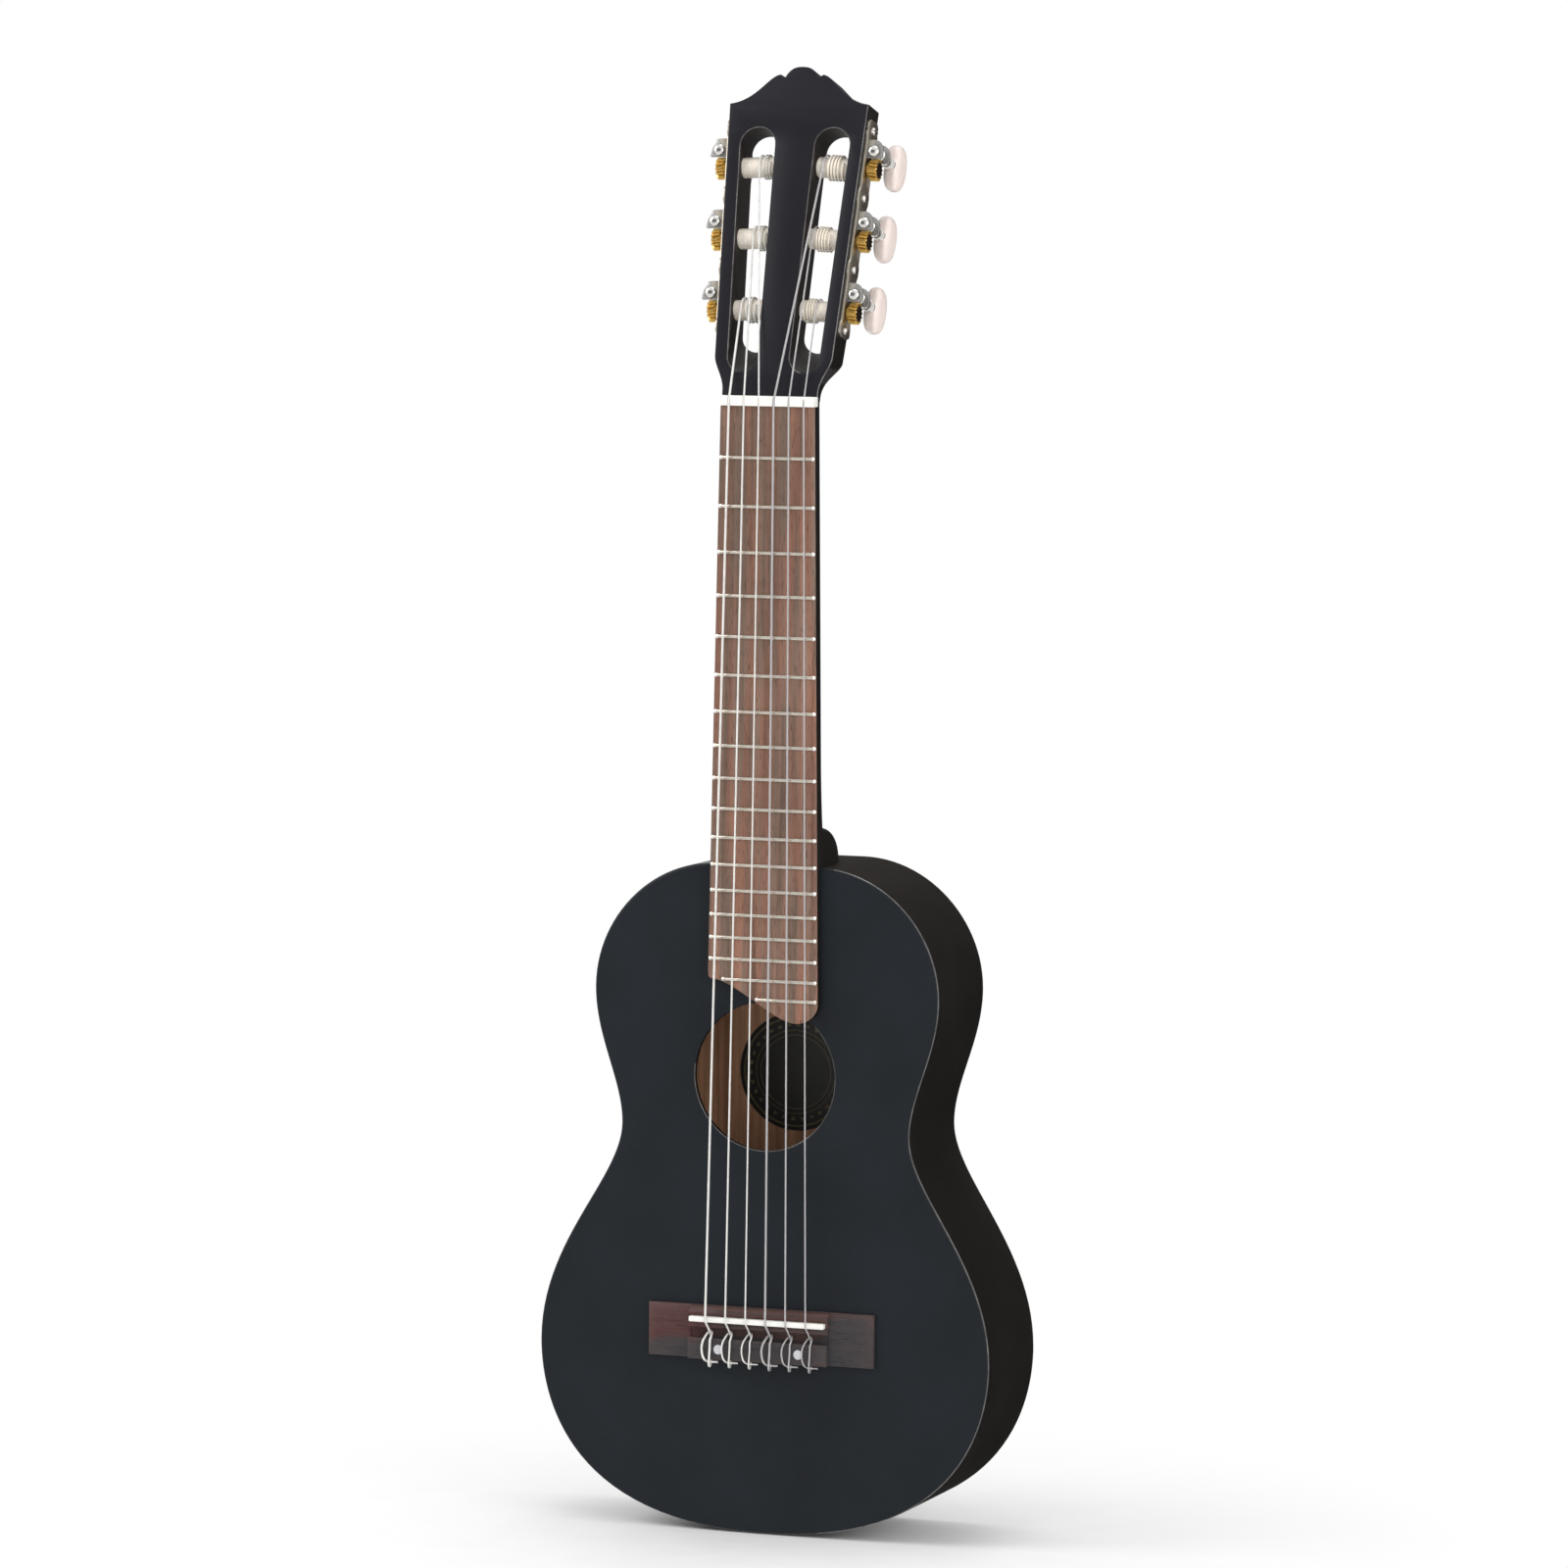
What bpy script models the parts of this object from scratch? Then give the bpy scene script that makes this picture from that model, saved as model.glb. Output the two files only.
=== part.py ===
# Guitalele: a six string small guitar with a slotted head and classical tuners.
# Metres, +Z up along the neck, strings towards -Y, treble side towards +X.
# The origin is on the centreline where the nut's front face meets the neck.

import math

import bmesh
import bpy
from mathutils import Matrix, Vector

# Scale and frets
scale_length = 0.433
fret_count = 18
joint_fret = 12
frets_per_octave = 12

# Gaps between pieces
glue_gap = 0.0003
running_gap = 0.0003
shaft_fit = 0.0001

# Body outline, heights measured up from the tail
body_length = 0.319
lower_bout_width = 0.2266
lower_bout_height = 0.087
waist_width = 0.145
waist_height = 0.1932
upper_bout_width = 0.173
upper_bout_height = 0.258
shoulder_width = 0.052
tail_fullness = 0.1042
lower_bout_fullness_down = 0.0227
lower_bout_fullness_up = 0.0479
waist_fullness_down = 0.0267
waist_fullness_up = 0.020
upper_bout_fullness_down = 0.0248
upper_bout_fullness_up = 0.0325
shoulder_fullness = 0.0332

# Body shell
body_depth_tail = 0.069
body_depth_neck = 0.0658
soundboard_thickness = 0.0026
soundboard_edge_radius = 0.0016
back_thickness = 0.0026
back_edge_radius = 0.0012
side_thickness = 0.0025
sound_hole_radius = 0.0352
sound_hole_to_nut = 0.3169

# Inside the body
neck_block_width = 0.050
neck_block_length = 0.028
tail_block_width = 0.044
tail_block_length = 0.012
lining_thickness = 0.005
lining_height = 0.012
front_brace_width = 0.006
front_brace_height = 0.011
upper_front_brace_to_nut = 0.2655
lower_front_brace_to_nut = 0.3605
back_brace_width = 0.008
back_brace_height = 0.009
upper_back_brace_to_nut = 0.275
lower_back_brace_to_nut = 0.410
brace_end_height = 0.003
brace_taper_length = 0.018
label_radius = 0.027
label_thickness = 0.0004
label_offset = -0.006
label_to_nut = 0.322

# Neck shaft and heel
neck_width_nut = 0.0473
neck_width_joint = 0.0537
neck_depth_nut = 0.0165
neck_depth_heel = 0.0178
heel_start_to_joint = 0.0172
heel_roundness = 0.56
heel_squareness = 3.0
heel_swell_run = 0.034
heel_swell_depth = 0.0065
heel_steps = 8
heel_cap_taper = 0.42
neck_overlap_into_head = 0.010

# Head
head_tilt = math.radians(15.0)
head_face_lift = 0.003
head_thickness = 0.018
head_length = 0.1648
head_throat_width = 0.048
head_flare_width = 0.05906
head_flare_start = 0.0068
head_flare_end = 0.0245
head_top_width = 0.0696
head_corner_height = 0.1466
crest_shoulder_width = 0.0215
crest_shoulder_height = 0.1610
crest_notch_width = 0.0166
crest_notch_height = 0.1597
head_back_edge_radius = 0.003
slot_top_height = 0.1263
slot_top_radius = 0.0087
slot_top_offset = 0.0187
slot_end_height = 0.0232
slot_end_radius = 0.0074
slot_end_offset = 0.0155
slot_ramp_run = 0.0145

# Fingerboard, frets, nut
board_thickness = 0.0042
fret_height = 0.001
fret_width = 0.002
fret_crown_width = 0.0009
board_bass_end_to_nut = 0.2692
board_lowest_to_nut = 0.2906
board_treble_end_to_nut = 0.2812
board_lowest_offset = 0.0165
board_corner_radius = 0.0035
nut_length = 0.0048
nut_rise = 0.0011
nut_crown_share = 0.55
nut_slot_clearance = 0.0002
action_at_nut = 0.0004

# Bridge and saddle
bridge_width = 0.1134
bridge_front_to_saddle = 0.0059
bridge_length = 0.0253
bridge_wing_height = 0.0036
bridge_wing_edge_height = 0.0022
bridge_wing_slope = 0.0048
bridge_wing_front_slope = 0.005
bridge_wing_rear_slope = 0.009
bridge_centre_width = 0.070
saddle_ridge_height = 0.0066
saddle_ridge_length = 0.0098
channel_height = 0.0029
tie_block_height = 0.0074
tie_block_length = 0.0103
tie_hole_height = 0.0043
tie_hole_clearance = 0.0004
saddle_thickness = 0.0026
saddle_height = 0.0094
saddle_length = 0.068
saddle_slot_depth = 0.003
saddle_edge_radius = 0.0006
dot_radius = 0.0023
dot_depth = 0.0008

# Strings, from the thinnest to the thickest
string_diameters = (0.00071, 0.00082, 0.00102, 0.00074, 0.00089, 0.00109)
string_spacing_nut = 0.00746
string_spacing_saddle = 0.01008
string_gap = 0.0003
string_resolution = 1

# Tuners: each roller lies across a slot, one worm above it
roller_heights = (0.0476, 0.0823, 0.1170)
roller_depth = 0.0084
roller_radius = 0.0049
roller_pin_radius = 0.0022
roller_pin_length = 0.005
roller_shaft_radius = 0.0024
roller_bearing_gap = 0.0003
roller_hole_clearance = 0.00045
gear_teeth = 14
gear_pitch_radius = 0.0048
gear_width = 0.004
gear_addendum = 0.00048
gear_dedendum = 0.00073
gear_tooth_share = 0.40
gear_tip_share = 0.22
gear_collar_radius = 0.0038
worm_pitch_radius = 0.0030
worm_addendum = 0.00048
worm_dedendum = 0.00077
worm_thread_share = 0.38
worm_tip_share = 0.20
worm_turns = 3.5
worm_steps_per_turn = 12
plate_thickness = 0.001
plate_width = 0.0115
plate_lobe_width = 0.0136
plate_lobe_length = 0.0088
plate_low_end = 0.0355
plate_high_end = 0.1405
plate_end_scallop = 0.0012
plate_screw_heights = (0.0390, 0.0683, 0.1030, 0.1356)
gear_to_plate = 0.0016
ear_thickness = 0.0011
ear_reach = 0.0046
ear_rise = 0.0056
ear_drop = 0.0033
ear_to_thread = 0.0006
worm_journal_radius = 0.0017
worm_head_length = 0.0012
worm_head_radius = 0.0027
worm_stem_radius = 0.0016
worm_stem_length = 0.0132
button_height = 0.0222
button_width = 0.0086
button_length = 0.0150
button_bore_depth = 0.006
button_rounding = 3.0

# String windings on the rollers
winding_pitch_gap = 0.0006
winding_steps_per_turn = 12
winding_roller_gap = 0.00035
winding_bend_radius = 0.0012
winding_end_length = 0.0012
winding_turns = (3.5, 4.5, 4.5, 2.5, 2.5, 2.5)
winding_direction = (-1, 1, 1, -1, -1, -1)
string_lane = (0.0178, 0.0124, 0.0144, 0.0179, 0.0172, 0.0196)
string_wrap_angle = math.radians(100.0)
string_wrap_steps = 5

# How finely curves are drawn
round_steps = 16
hole_steps = 40
outline_steps = 7
flare_steps = 5

collection_name = "guitalele"
cutter_collection_name = "guitalele_cutters"


# Places worked out from the sizes above

def fret_z(number):
    """Height of a fret: the nut is at zero and the saddle at minus the scale."""
    return -scale_length * (1 - 2 ** (-number / frets_per_octave))


saddle_z = -scale_length
body_top = fret_z(joint_fret)
body_bottom = body_top - body_length
sound_hole_z = -sound_hole_to_nut
gear_module_pitch = 2 * math.pi * gear_pitch_radius / gear_teeth
centre_distance = gear_pitch_radius + worm_pitch_radius
plate_outer = glue_gap + plate_thickness
gear_plane = plate_outer + gear_to_plate + gear_width / 2
worm_thread_length = gear_module_pitch * worm_turns
ear_offset = worm_thread_length / 2 + ear_to_thread
fret_crown_height = board_thickness + fret_height


def back_y(z):
    """Outer face of the back, which slopes in towards the neck."""
    share = (z - body_bottom) / body_length
    return body_depth_tail + (body_depth_neck - body_depth_tail) * share


def board_half_width(z):
    share = z / body_top
    return (neck_width_nut + (neck_width_joint - neck_width_nut) * share) / 2


def saddle_string_height(diameter):
    return saddle_height + string_gap + diameter / 2


def nut_string_height(diameter):
    return fret_crown_height + action_at_nut + diameter / 2


# Scene, materials and small helpers

def clear_scene():
    for item in list(bpy.data.objects):
        bpy.data.objects.remove(item)


def make_collection(name):
    collection = bpy.data.collections.new(name)
    bpy.context.scene.collection.children.link(collection)
    return collection


def make_material(name, color, roughness, metallic=0.0):
    material = bpy.data.materials.new(name)
    material.use_nodes = True
    shader = material.node_tree.nodes["Principled BSDF"]
    shader.inputs["Base Color"].default_value = (*color, 1.0)
    shader.inputs["Roughness"].default_value = roughness
    shader.inputs["Metallic"].default_value = metallic
    material.diffuse_color = (*color, 1.0)
    return material


def link(item, name, material=None):
    """Names an object and files it with the parts, or with the cutters."""
    item.name = name
    for collection in list(item.users_collection):
        collection.objects.unlink(item)
    if material is None:
        cutters.objects.link(item)
        item.hide_render = True
        item.display_type = "WIRE"
    else:
        parts.objects.link(item)
        item.data.materials.clear()
        item.data.materials.append(material)
    return item


def new_object(name, data, material=None):
    item = bpy.data.objects.new(name, data)
    return link(item, name, material)


def smooth(item, angle=math.radians(35.0)):
    item.data.shade_smooth()
    item.data.set_sharp_from_angle(angle=angle)


def mesh_of(item):
    """The evaluated mesh of an object, with loose caps welded."""
    bpy.context.view_layer.update()
    graph = bpy.context.evaluated_depsgraph_get()
    mesh = bpy.data.meshes.new_from_object(item.evaluated_get(graph))
    work = bmesh.new()
    work.from_mesh(mesh)
    bmesh.ops.remove_doubles(work, verts=work.verts, dist=1e-6)
    bmesh.ops.recalc_face_normals(work, faces=work.faces)
    work.to_mesh(mesh)
    work.free()
    return mesh


def face_out(mesh):
    """Turns the faces of a closed mesh outward."""
    work = bmesh.new()
    work.from_mesh(mesh)
    bmesh.ops.recalc_face_normals(work, faces=work.faces)
    work.to_mesh(mesh)
    work.free()


def take_mesh(item):
    """Turns a helper object into its mesh and removes the helper."""
    mesh = mesh_of(item)
    bpy.data.objects.remove(item)
    return mesh


def prism(outlines, low, high):
    """A flat outline, with holes where it has more loops, extruded along Z."""
    curve = bpy.data.curves.new("outline", "CURVE")
    curve.dimensions = "2D"
    curve.fill_mode = "BOTH"
    curve.extrude = (high - low) / 2
    for outline in outlines:
        spline = curve.splines.new("POLY")
        spline.points.add(len(outline) - 1)
        for point, (x, y) in zip(spline.points, outline):
            point.co = (x, y, 0, 1)
        spline.use_cyclic_u = True
    mesh = take_mesh(new_object("outline", curve))
    mesh.transform(Matrix.Translation((0, 0, (low + high) / 2)))
    return mesh


def turned(name, profile, steps, material=None):
    """A profile of (radius, height) points, top to bottom, turned about Z."""
    mesh = bpy.data.meshes.new(name)
    closed = profile[0][0] > 0
    count = len(profile)
    edges = [(i, i + 1) for i in range(count - 1)]
    if closed:
        edges.append((count - 1, 0))
    mesh.from_pydata([(radius, 0, height) for radius, height in profile], edges, [])
    item = new_object(name, mesh, material)
    screw = item.modifiers.new("turn", "SCREW")
    screw.steps = steps
    screw.render_steps = steps
    screw.use_merge_vertices = True
    screw.merge_threshold = 1e-5
    screw.use_smooth_shade = False
    return item


def cylinder(radius, low, high, steps=round_steps):
    """A closed cylinder along Z as a mesh."""
    mesh = bpy.data.meshes.new("cylinder")
    work = bmesh.new()
    bmesh.ops.create_cone(
        work, cap_ends=True, segments=steps, radius1=radius, radius2=radius,
        depth=high - low, matrix=Matrix.Translation((0, 0, (low + high) / 2)))
    work.to_mesh(mesh)
    work.free()
    return mesh


def box(low, high):
    """A box mesh between two corners."""
    mesh = bpy.data.meshes.new("box")
    work = bmesh.new()
    middle = [(a + b) / 2 for a, b in zip(low, high)]
    size = [b - a for a, b in zip(low, high)]
    place = Matrix.Translation(middle) @ Matrix.Diagonal((*size, 1))
    bmesh.ops.create_cube(work, size=1, matrix=place)
    work.to_mesh(mesh)
    work.free()
    return mesh


def hull(points):
    """The convex solid around some points, as a mesh."""
    mesh = bpy.data.meshes.new("hull")
    work = bmesh.new()
    for point in points:
        work.verts.new(point)
    bmesh.ops.convex_hull(work, input=work.verts)
    bmesh.ops.dissolve_limit(work, angle_limit=math.radians(1.0),
                             verts=work.verts, edges=work.edges)
    work.to_mesh(mesh)
    work.free()
    return mesh


def tube(name, points, radius, resolution, material=None):
    """A round tube along the points, as a mesh with closed ends."""
    curve = bpy.data.curves.new(name, "CURVE")
    curve.dimensions = "3D"
    curve.bevel_depth = radius
    curve.bevel_resolution = resolution
    curve.use_fill_caps = True
    spline = curve.splines.new("POLY")
    spline.points.add(len(points) - 1)
    for point, place in zip(spline.points, points):
        point.co = (*place, 1)
    mesh = take_mesh(new_object(name, curve))
    item = new_object(name, mesh, material)
    smooth(item, math.radians(60.0))
    return item


def combine(item, mesh, operation, name):
    """Adds a Boolean modifier whose other solid is filed with the cutters."""
    other = new_object(name, mesh)
    other.matrix_world = item.matrix_world
    modifier = item.modifiers.new(name, "BOOLEAN")
    modifier.operation = operation
    modifier.solver = "EXACT"
    modifier.object = other
    return other


def cut(item, mesh, name):
    return combine(item, mesh, "DIFFERENCE", name)


def bevel_edges(mesh, radius, segments, wanted):
    """Rounds the edges for which wanted(first, second) is true."""
    work = bmesh.new()
    work.from_mesh(mesh)
    edges = [e for e in work.edges if wanted(e.verts[0].co, e.verts[1].co)
             and e.calc_face_angle(0) > math.radians(40)]
    bmesh.ops.bevel(work, geom=edges, offset=radius, segments=segments,
                    profile=0.5, affect="EDGES", clamp_overlap=True)
    work.to_mesh(mesh)
    work.free()


def bezier_points(start, start_handle, end_handle, end, steps):
    """Points after the start of one Bezier stretch."""
    points = []
    for i in range(1, steps + 1):
        t = i / steps
        weights = ((1 - t) ** 3, 3 * (1 - t) ** 2 * t, 3 * (1 - t) * t * t, t ** 3)
        corners = (start, start_handle, end_handle, end)
        points.append(tuple(
            sum(w * c[axis] for w, c in zip(weights, corners)) for axis in (0, 1)))
    return points


def arc_points(centre, radius, start, end, steps):
    """Points on an arc, both ends included, angles measured from +X."""
    return [(centre[0] + radius * math.cos(start + (end - start) * i / steps),
             centre[1] + radius * math.sin(start + (end - start) * i / steps))
            for i in range(steps + 1)]


# Body outline: x across, z along, drawn in the XY plane and stood up afterwards

def half_outline(inset=0.0):
    """Treble half of the body's outline, from the neck end to the tail."""
    lower = (lower_bout_width / 2, body_bottom + lower_bout_height)
    waist = (waist_width / 2, body_bottom + waist_height)
    upper = (upper_bout_width / 2, body_bottom + upper_bout_height)
    shoulder = (shoulder_width / 2, body_top)
    tail = (0.0, body_bottom)
    points = [(0.0, body_top), shoulder]
    points += bezier_points(
        shoulder, (shoulder[0] + shoulder_fullness, body_top),
        (upper[0], upper[1] + upper_bout_fullness_up), upper, outline_steps)
    points += bezier_points(
        upper, (upper[0], upper[1] - upper_bout_fullness_down),
        (waist[0], waist[1] + waist_fullness_up), waist, outline_steps)
    points += bezier_points(
        waist, (waist[0], waist[1] - waist_fullness_down),
        (lower[0], lower[1] + lower_bout_fullness_up), lower, outline_steps)
    points += bezier_points(
        lower, (lower[0], lower[1] - lower_bout_fullness_down),
        (tail_fullness, body_bottom), tail, outline_steps + 1)
    if inset == 0.0:
        return points
    moved = []
    last = len(points) - 1
    for i, (x, z) in enumerate(points):
        before = Vector(points[max(i - 1, 0)])
        after = Vector(points[min(i + 1, last)])
        here = Vector((x, z))
        first = (here - before).normalized() if i else (after - here).normalized()
        second = (after - here).normalized() if i < last else first
        if i == 0 or i == last:
            first = second = Vector((1, 0)) if i == 0 else Vector((-1, 0))
        along = (first + second).normalized()
        scale = inset / max(along.dot(first), 0.5)
        moved.append((x + along.y * scale, z - along.x * scale))
    return moved


def clip_outline(points, least_x):
    """The run of outline points beyond least_x, with its ends at least_x."""
    kept = []
    for first, second in zip(points, points[1:]):
        if (first[0] < least_x) != (second[0] < least_x):
            share = (least_x - first[0]) / (second[0] - first[0])
            kept.append((least_x, first[1] + share * (second[1] - first[1])))
        if second[0] >= least_x:
            kept.append(second)
    return kept


def full_outline():
    half = half_outline()
    return half[1:] + [(-x, z) for x, z in reversed(half[1:-1])]


def stand_up(mesh):
    """Turns a drawing in XY so that its Y runs up and its Z runs to the front."""
    mesh.transform(Matrix.Rotation(math.radians(90.0), 4, "X"))


def between(mesh, front_of, back_of):
    """Spreads a unit prism between a front and a back, both given by height."""
    stand_up(mesh)
    for vertex in mesh.vertices:
        share = vertex.co.y
        front = front_of(vertex.co.z)
        vertex.co.y = front + share * (back_of(vertex.co.z) - front)
    face_out(mesh)


def under_soundboard(z):
    return soundboard_thickness + glue_gap


def over_back(z):
    return back_y(z) - back_thickness - glue_gap


def half_width_at(z, inset):
    """Half the width of the inset outline at a height."""
    points = half_outline(inset)
    widths = []
    for first, second in zip(points, points[1:]):
        if (first[1] - z) * (second[1] - z) <= 0 and first[1] != second[1]:
            share = (z - first[1]) / (second[1] - first[1])
            widths.append(first[0] + share * (second[0] - first[0]))
    return min(widths)


# Body pieces

def make_soundboard():
    hole = arc_points((0, sound_hole_z), sound_hole_radius, 0, 2 * math.pi, hole_steps)
    mesh = prism([full_outline(), hole[:-1]], -1, 0)
    between(mesh, lambda z: 0.0, lambda z: soundboard_thickness)

    def on_front_rim(first, second):
        middle = (first + second) / 2
        radius = math.hypot(middle.x, middle.z - sound_hole_z)
        return max(first.y, second.y) < glue_gap and radius > sound_hole_radius * 1.1

    bevel_edges(mesh, soundboard_edge_radius, 2, on_front_rim)
    new_object("soundboard", mesh, black_finish)


def make_back():
    mesh = prism([full_outline()], -1, 0)
    between(mesh, lambda z: back_y(z) - back_thickness, back_y)

    def on_back_rim(first, second):
        return all(abs(v.y - back_y(v.z)) < glue_gap for v in (first, second))

    bevel_edges(mesh, back_edge_radius, 1, on_back_rim)
    new_object("back_plate", mesh, black_finish)


def mirror_mesh(mesh):
    """Mirrors a mesh in X and turns its faces out again."""
    mesh.transform(Matrix.Diagonal((-1, 1, 1, 1)))
    mesh.flip_normals()


def wall_mesh(path, front_of, back_of):
    """A bent wall between an outer and an inner path."""
    outer, inner = path
    outline = outer + inner[::-1]
    mesh = prism([outline], -1, 0)
    between(mesh, front_of, back_of)
    return mesh


def half_path(least_x, outer_inset, inner_inset):
    outer = clip_outline(half_outline(outer_inset), least_x)
    inner = clip_outline(half_outline(inner_inset), least_x)
    return outer, inner


def make_sides():
    for name, sign in (("side_treble", 1), ("side_bass", -1)):
        path = half_path(glue_gap / 2, 0.0, side_thickness)
        mesh = wall_mesh(path, under_soundboard, over_back)
        if sign < 0:
            mirror_mesh(mesh)
        new_object(name, mesh, black_finish)


def lining_limits(front):
    if front:
        return under_soundboard, lambda z: under_soundboard(z) + lining_height
    return lambda z: over_back(z) - lining_height, over_back


def make_linings():
    start = max(neck_block_width, tail_block_width) / 2 + glue_gap
    outer_inset = side_thickness + glue_gap
    inner_inset = outer_inset + lining_thickness
    for place, front in (("front", True), ("back", False)):
        for side, sign in (("treble", 1), ("bass", -1)):
            path = half_path(start, outer_inset, inner_inset)
            mesh = wall_mesh(path, *lining_limits(front))
            if sign < 0:
                mirror_mesh(mesh)
            new_object(f"lining_{place}_{side}", mesh, inner_wood)


def make_blocks():
    inset = side_thickness + glue_gap
    top = body_top - inset
    half = neck_block_width / 2
    drawing = [(half, top), (half, top - neck_block_length),
               (-half, top - neck_block_length), (-half, top)]
    mesh = prism([drawing], -1, 0)
    between(mesh, under_soundboard, over_back)
    new_object("neck_block", mesh, inner_wood)

    half = tail_block_width / 2
    inner = [p for p in half_outline(inset) if p[0] < half and p[1] < body_bottom + tail_block_length]
    edge = [(half, body_bottom + tail_block_length), (half, tail_edge_height(half, inset))]
    arc = edge + inner
    drawing = arc + [(-x, z) for x, z in reversed(arc) if x > 0]
    mesh = prism([drawing], -1, 0)
    between(mesh, under_soundboard, over_back)
    new_object("tail_block", mesh, inner_wood)


def tail_edge_height(x, inset):
    """Height of the inset outline near the tail at a distance from the middle."""
    points = half_outline(inset)
    for first, second in zip(points[::-1], points[-2::-1]):
        if first[0] <= x <= second[0]:
            share = (x - first[0]) / (second[0] - first[0])
            return first[1] + share * (second[1] - first[1])
    return points[-1][1]


def brace_mesh(z, width, height, base_of, direction):
    """A tapered bar across the body, standing on a plate."""
    inset = side_thickness + lining_thickness + 2 * glue_gap
    reach = min(half_width_at(z + width / 2, inset), half_width_at(z - width / 2, inset))
    reach -= glue_gap
    inner = reach - brace_taper_length
    drawing = [(-reach, 0), (reach, 0), (reach, brace_end_height), (inner, height),
               (-inner, height), (-reach, brace_end_height)]
    mesh = prism([drawing], -width / 2, width / 2)
    for vertex in mesh.vertices:
        x, up, along = vertex.co
        place = z + along
        vertex.co = (x, base_of(place) + direction * up, place)
    face_out(mesh)
    return mesh


def make_braces():
    for name, distance in (("brace_front_upper", upper_front_brace_to_nut),
                           ("brace_front_lower", lower_front_brace_to_nut)):
        mesh = brace_mesh(-distance, front_brace_width, front_brace_height,
                          under_soundboard, 1)
        new_object(name, mesh, inner_wood)
    for name, distance in (("brace_back_upper", upper_back_brace_to_nut),
                           ("brace_back_lower", lower_back_brace_to_nut)):
        mesh = brace_mesh(-distance, back_brace_width, back_brace_height, over_back, -1)
        new_object(name, mesh, inner_wood)


def make_label():
    circle = arc_points((label_offset, -label_to_nut), label_radius, 0, 2 * math.pi, 32)
    mesh = prism([circle[:-1]], -1, 0)
    between(mesh, lambda z: over_back(z) - label_thickness, over_back)
    new_object("label", mesh, label_paper)


# Neck with its heel and slotted head

head_frame = Matrix((
    (1, 0, 0, 0),
    (0, math.sin(head_tilt), -math.cos(head_tilt), -head_face_lift),
    (0, math.cos(head_tilt), math.sin(head_tilt), 0),
    (0, 0, 0, 1)))


def neck_section(z, points=14):
    """Points of the neck's cross section at a height, from treble to bass."""
    width = board_half_width(min(z, 0))
    heel_start = body_top + heel_start_to_joint
    shaft_share = min(1.0, max(0.0, z / heel_start))
    depth = neck_depth_nut + (neck_depth_heel - neck_depth_nut) * shaft_share
    swell = (heel_start + heel_swell_run - z) / heel_swell_run
    depth += heel_swell_depth * min(1.0, max(0.0, swell)) ** 2
    # The heel bulges out of the shaft as a quarter round.
    run = max(0.0, (heel_start - z) / heel_start_to_joint)
    blend = (1 - (1 - run) ** 2) ** heel_roundness
    depth += (over_heel_depth() - depth) * blend
    power = 2 + (heel_squareness - 2) * blend
    taper = heel_cap_taper * blend
    section = []
    for i in range(points + 1):
        angle = math.pi * i / points
        x = math.copysign(abs(math.cos(angle)) ** (2 / power), math.cos(angle))
        y = math.sin(angle) ** (2 / power)
        section.append(Vector((width * x * (1 - taper * y * y), depth * y, z)))
    return section


def over_heel_depth():
    return back_y(body_top)


def loft(sections):
    """Joins equal rings of points into one closed mesh."""
    work = bmesh.new()
    rings = [[work.verts.new(p) for p in section] for section in sections]
    for ring, following in zip(rings, rings[1:]):
        for i in range(len(ring)):
            j = (i + 1) % len(ring)
            work.faces.new((ring[i], ring[j], following[j], following[i]))
    work.faces.new(list(reversed(rings[0])))
    work.faces.new(rings[-1])
    bmesh.ops.recalc_face_normals(work, faces=work.faces)
    mesh = bpy.data.meshes.new("loft")
    work.to_mesh(mesh)
    work.free()
    return mesh


def make_neck_shaft():
    heel_start = body_top + heel_start_to_joint
    end = body_top + glue_gap
    levels = [neck_overlap_into_head, 0, heel_start / 2]
    levels += [heel_start + heel_swell_run * share for share in (1, 0.67, 0.33, 0)]
    levels += [heel_start + (end - heel_start) * (i / heel_steps) ** 2
               for i in range(1, heel_steps + 1)]
    return loft([neck_section(z) for z in levels])


def head_outline():
    """The head seen from the front, from its throat round to the crest."""
    throat = head_throat_width / 2
    flare = head_flare_width / 2
    top = head_top_width / 2
    start = nut_length - glue_gap
    half = [(throat, start), (throat, head_flare_start)]
    rise = head_flare_end - head_flare_start
    half += bezier_points(
        (throat, head_flare_start), (throat, head_flare_start + rise * 0.4),
        (flare, head_flare_end - rise * 0.3), (flare, head_flare_end), flare_steps)
    corner = (top, head_corner_height)
    shoulder = (crest_shoulder_width / 2, crest_shoulder_height)
    half.append(corner)
    run = corner[0] - shoulder[0]
    climb = shoulder[1] - corner[1]
    half += bezier_points(
        corner, (corner[0] - run * 0.55, corner[1] + climb * 0.12),
        (shoulder[0] + run * 0.25, shoulder[1] - climb * 0.05), shoulder, flare_steps + 1)
    notch = (crest_notch_width / 2, crest_notch_height)
    half.append(notch)
    bump = head_length - notch[1]
    half += bezier_points(
        notch, (notch[0] * 0.72, notch[1] + bump * 0.85),
        (notch[0] * 0.42, head_length), (0.0, head_length), flare_steps)
    return half + [(-x, s) for x, s in reversed(half) if x > 0]


def slot_outline(side):
    """A slot with round ends, wider at the top, on one side of the head."""
    low = (slot_end_offset, slot_end_height)
    high = (slot_top_offset, slot_top_height)
    lean = math.atan2(low[0] - high[0], high[1] - low[1])
    distance = math.hypot(high[0] - low[0], high[1] - low[1])
    spread = math.asin((slot_top_radius - slot_end_radius) / distance)
    first = lean - spread
    upper = arc_points(high, slot_top_radius, first, math.pi + lean + spread, 10)
    lower = arc_points(low, slot_end_radius, math.pi + lean + spread,
                       2 * math.pi + lean - spread, 10)
    return [(side * x, s) for x, s in upper + lower]


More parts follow.
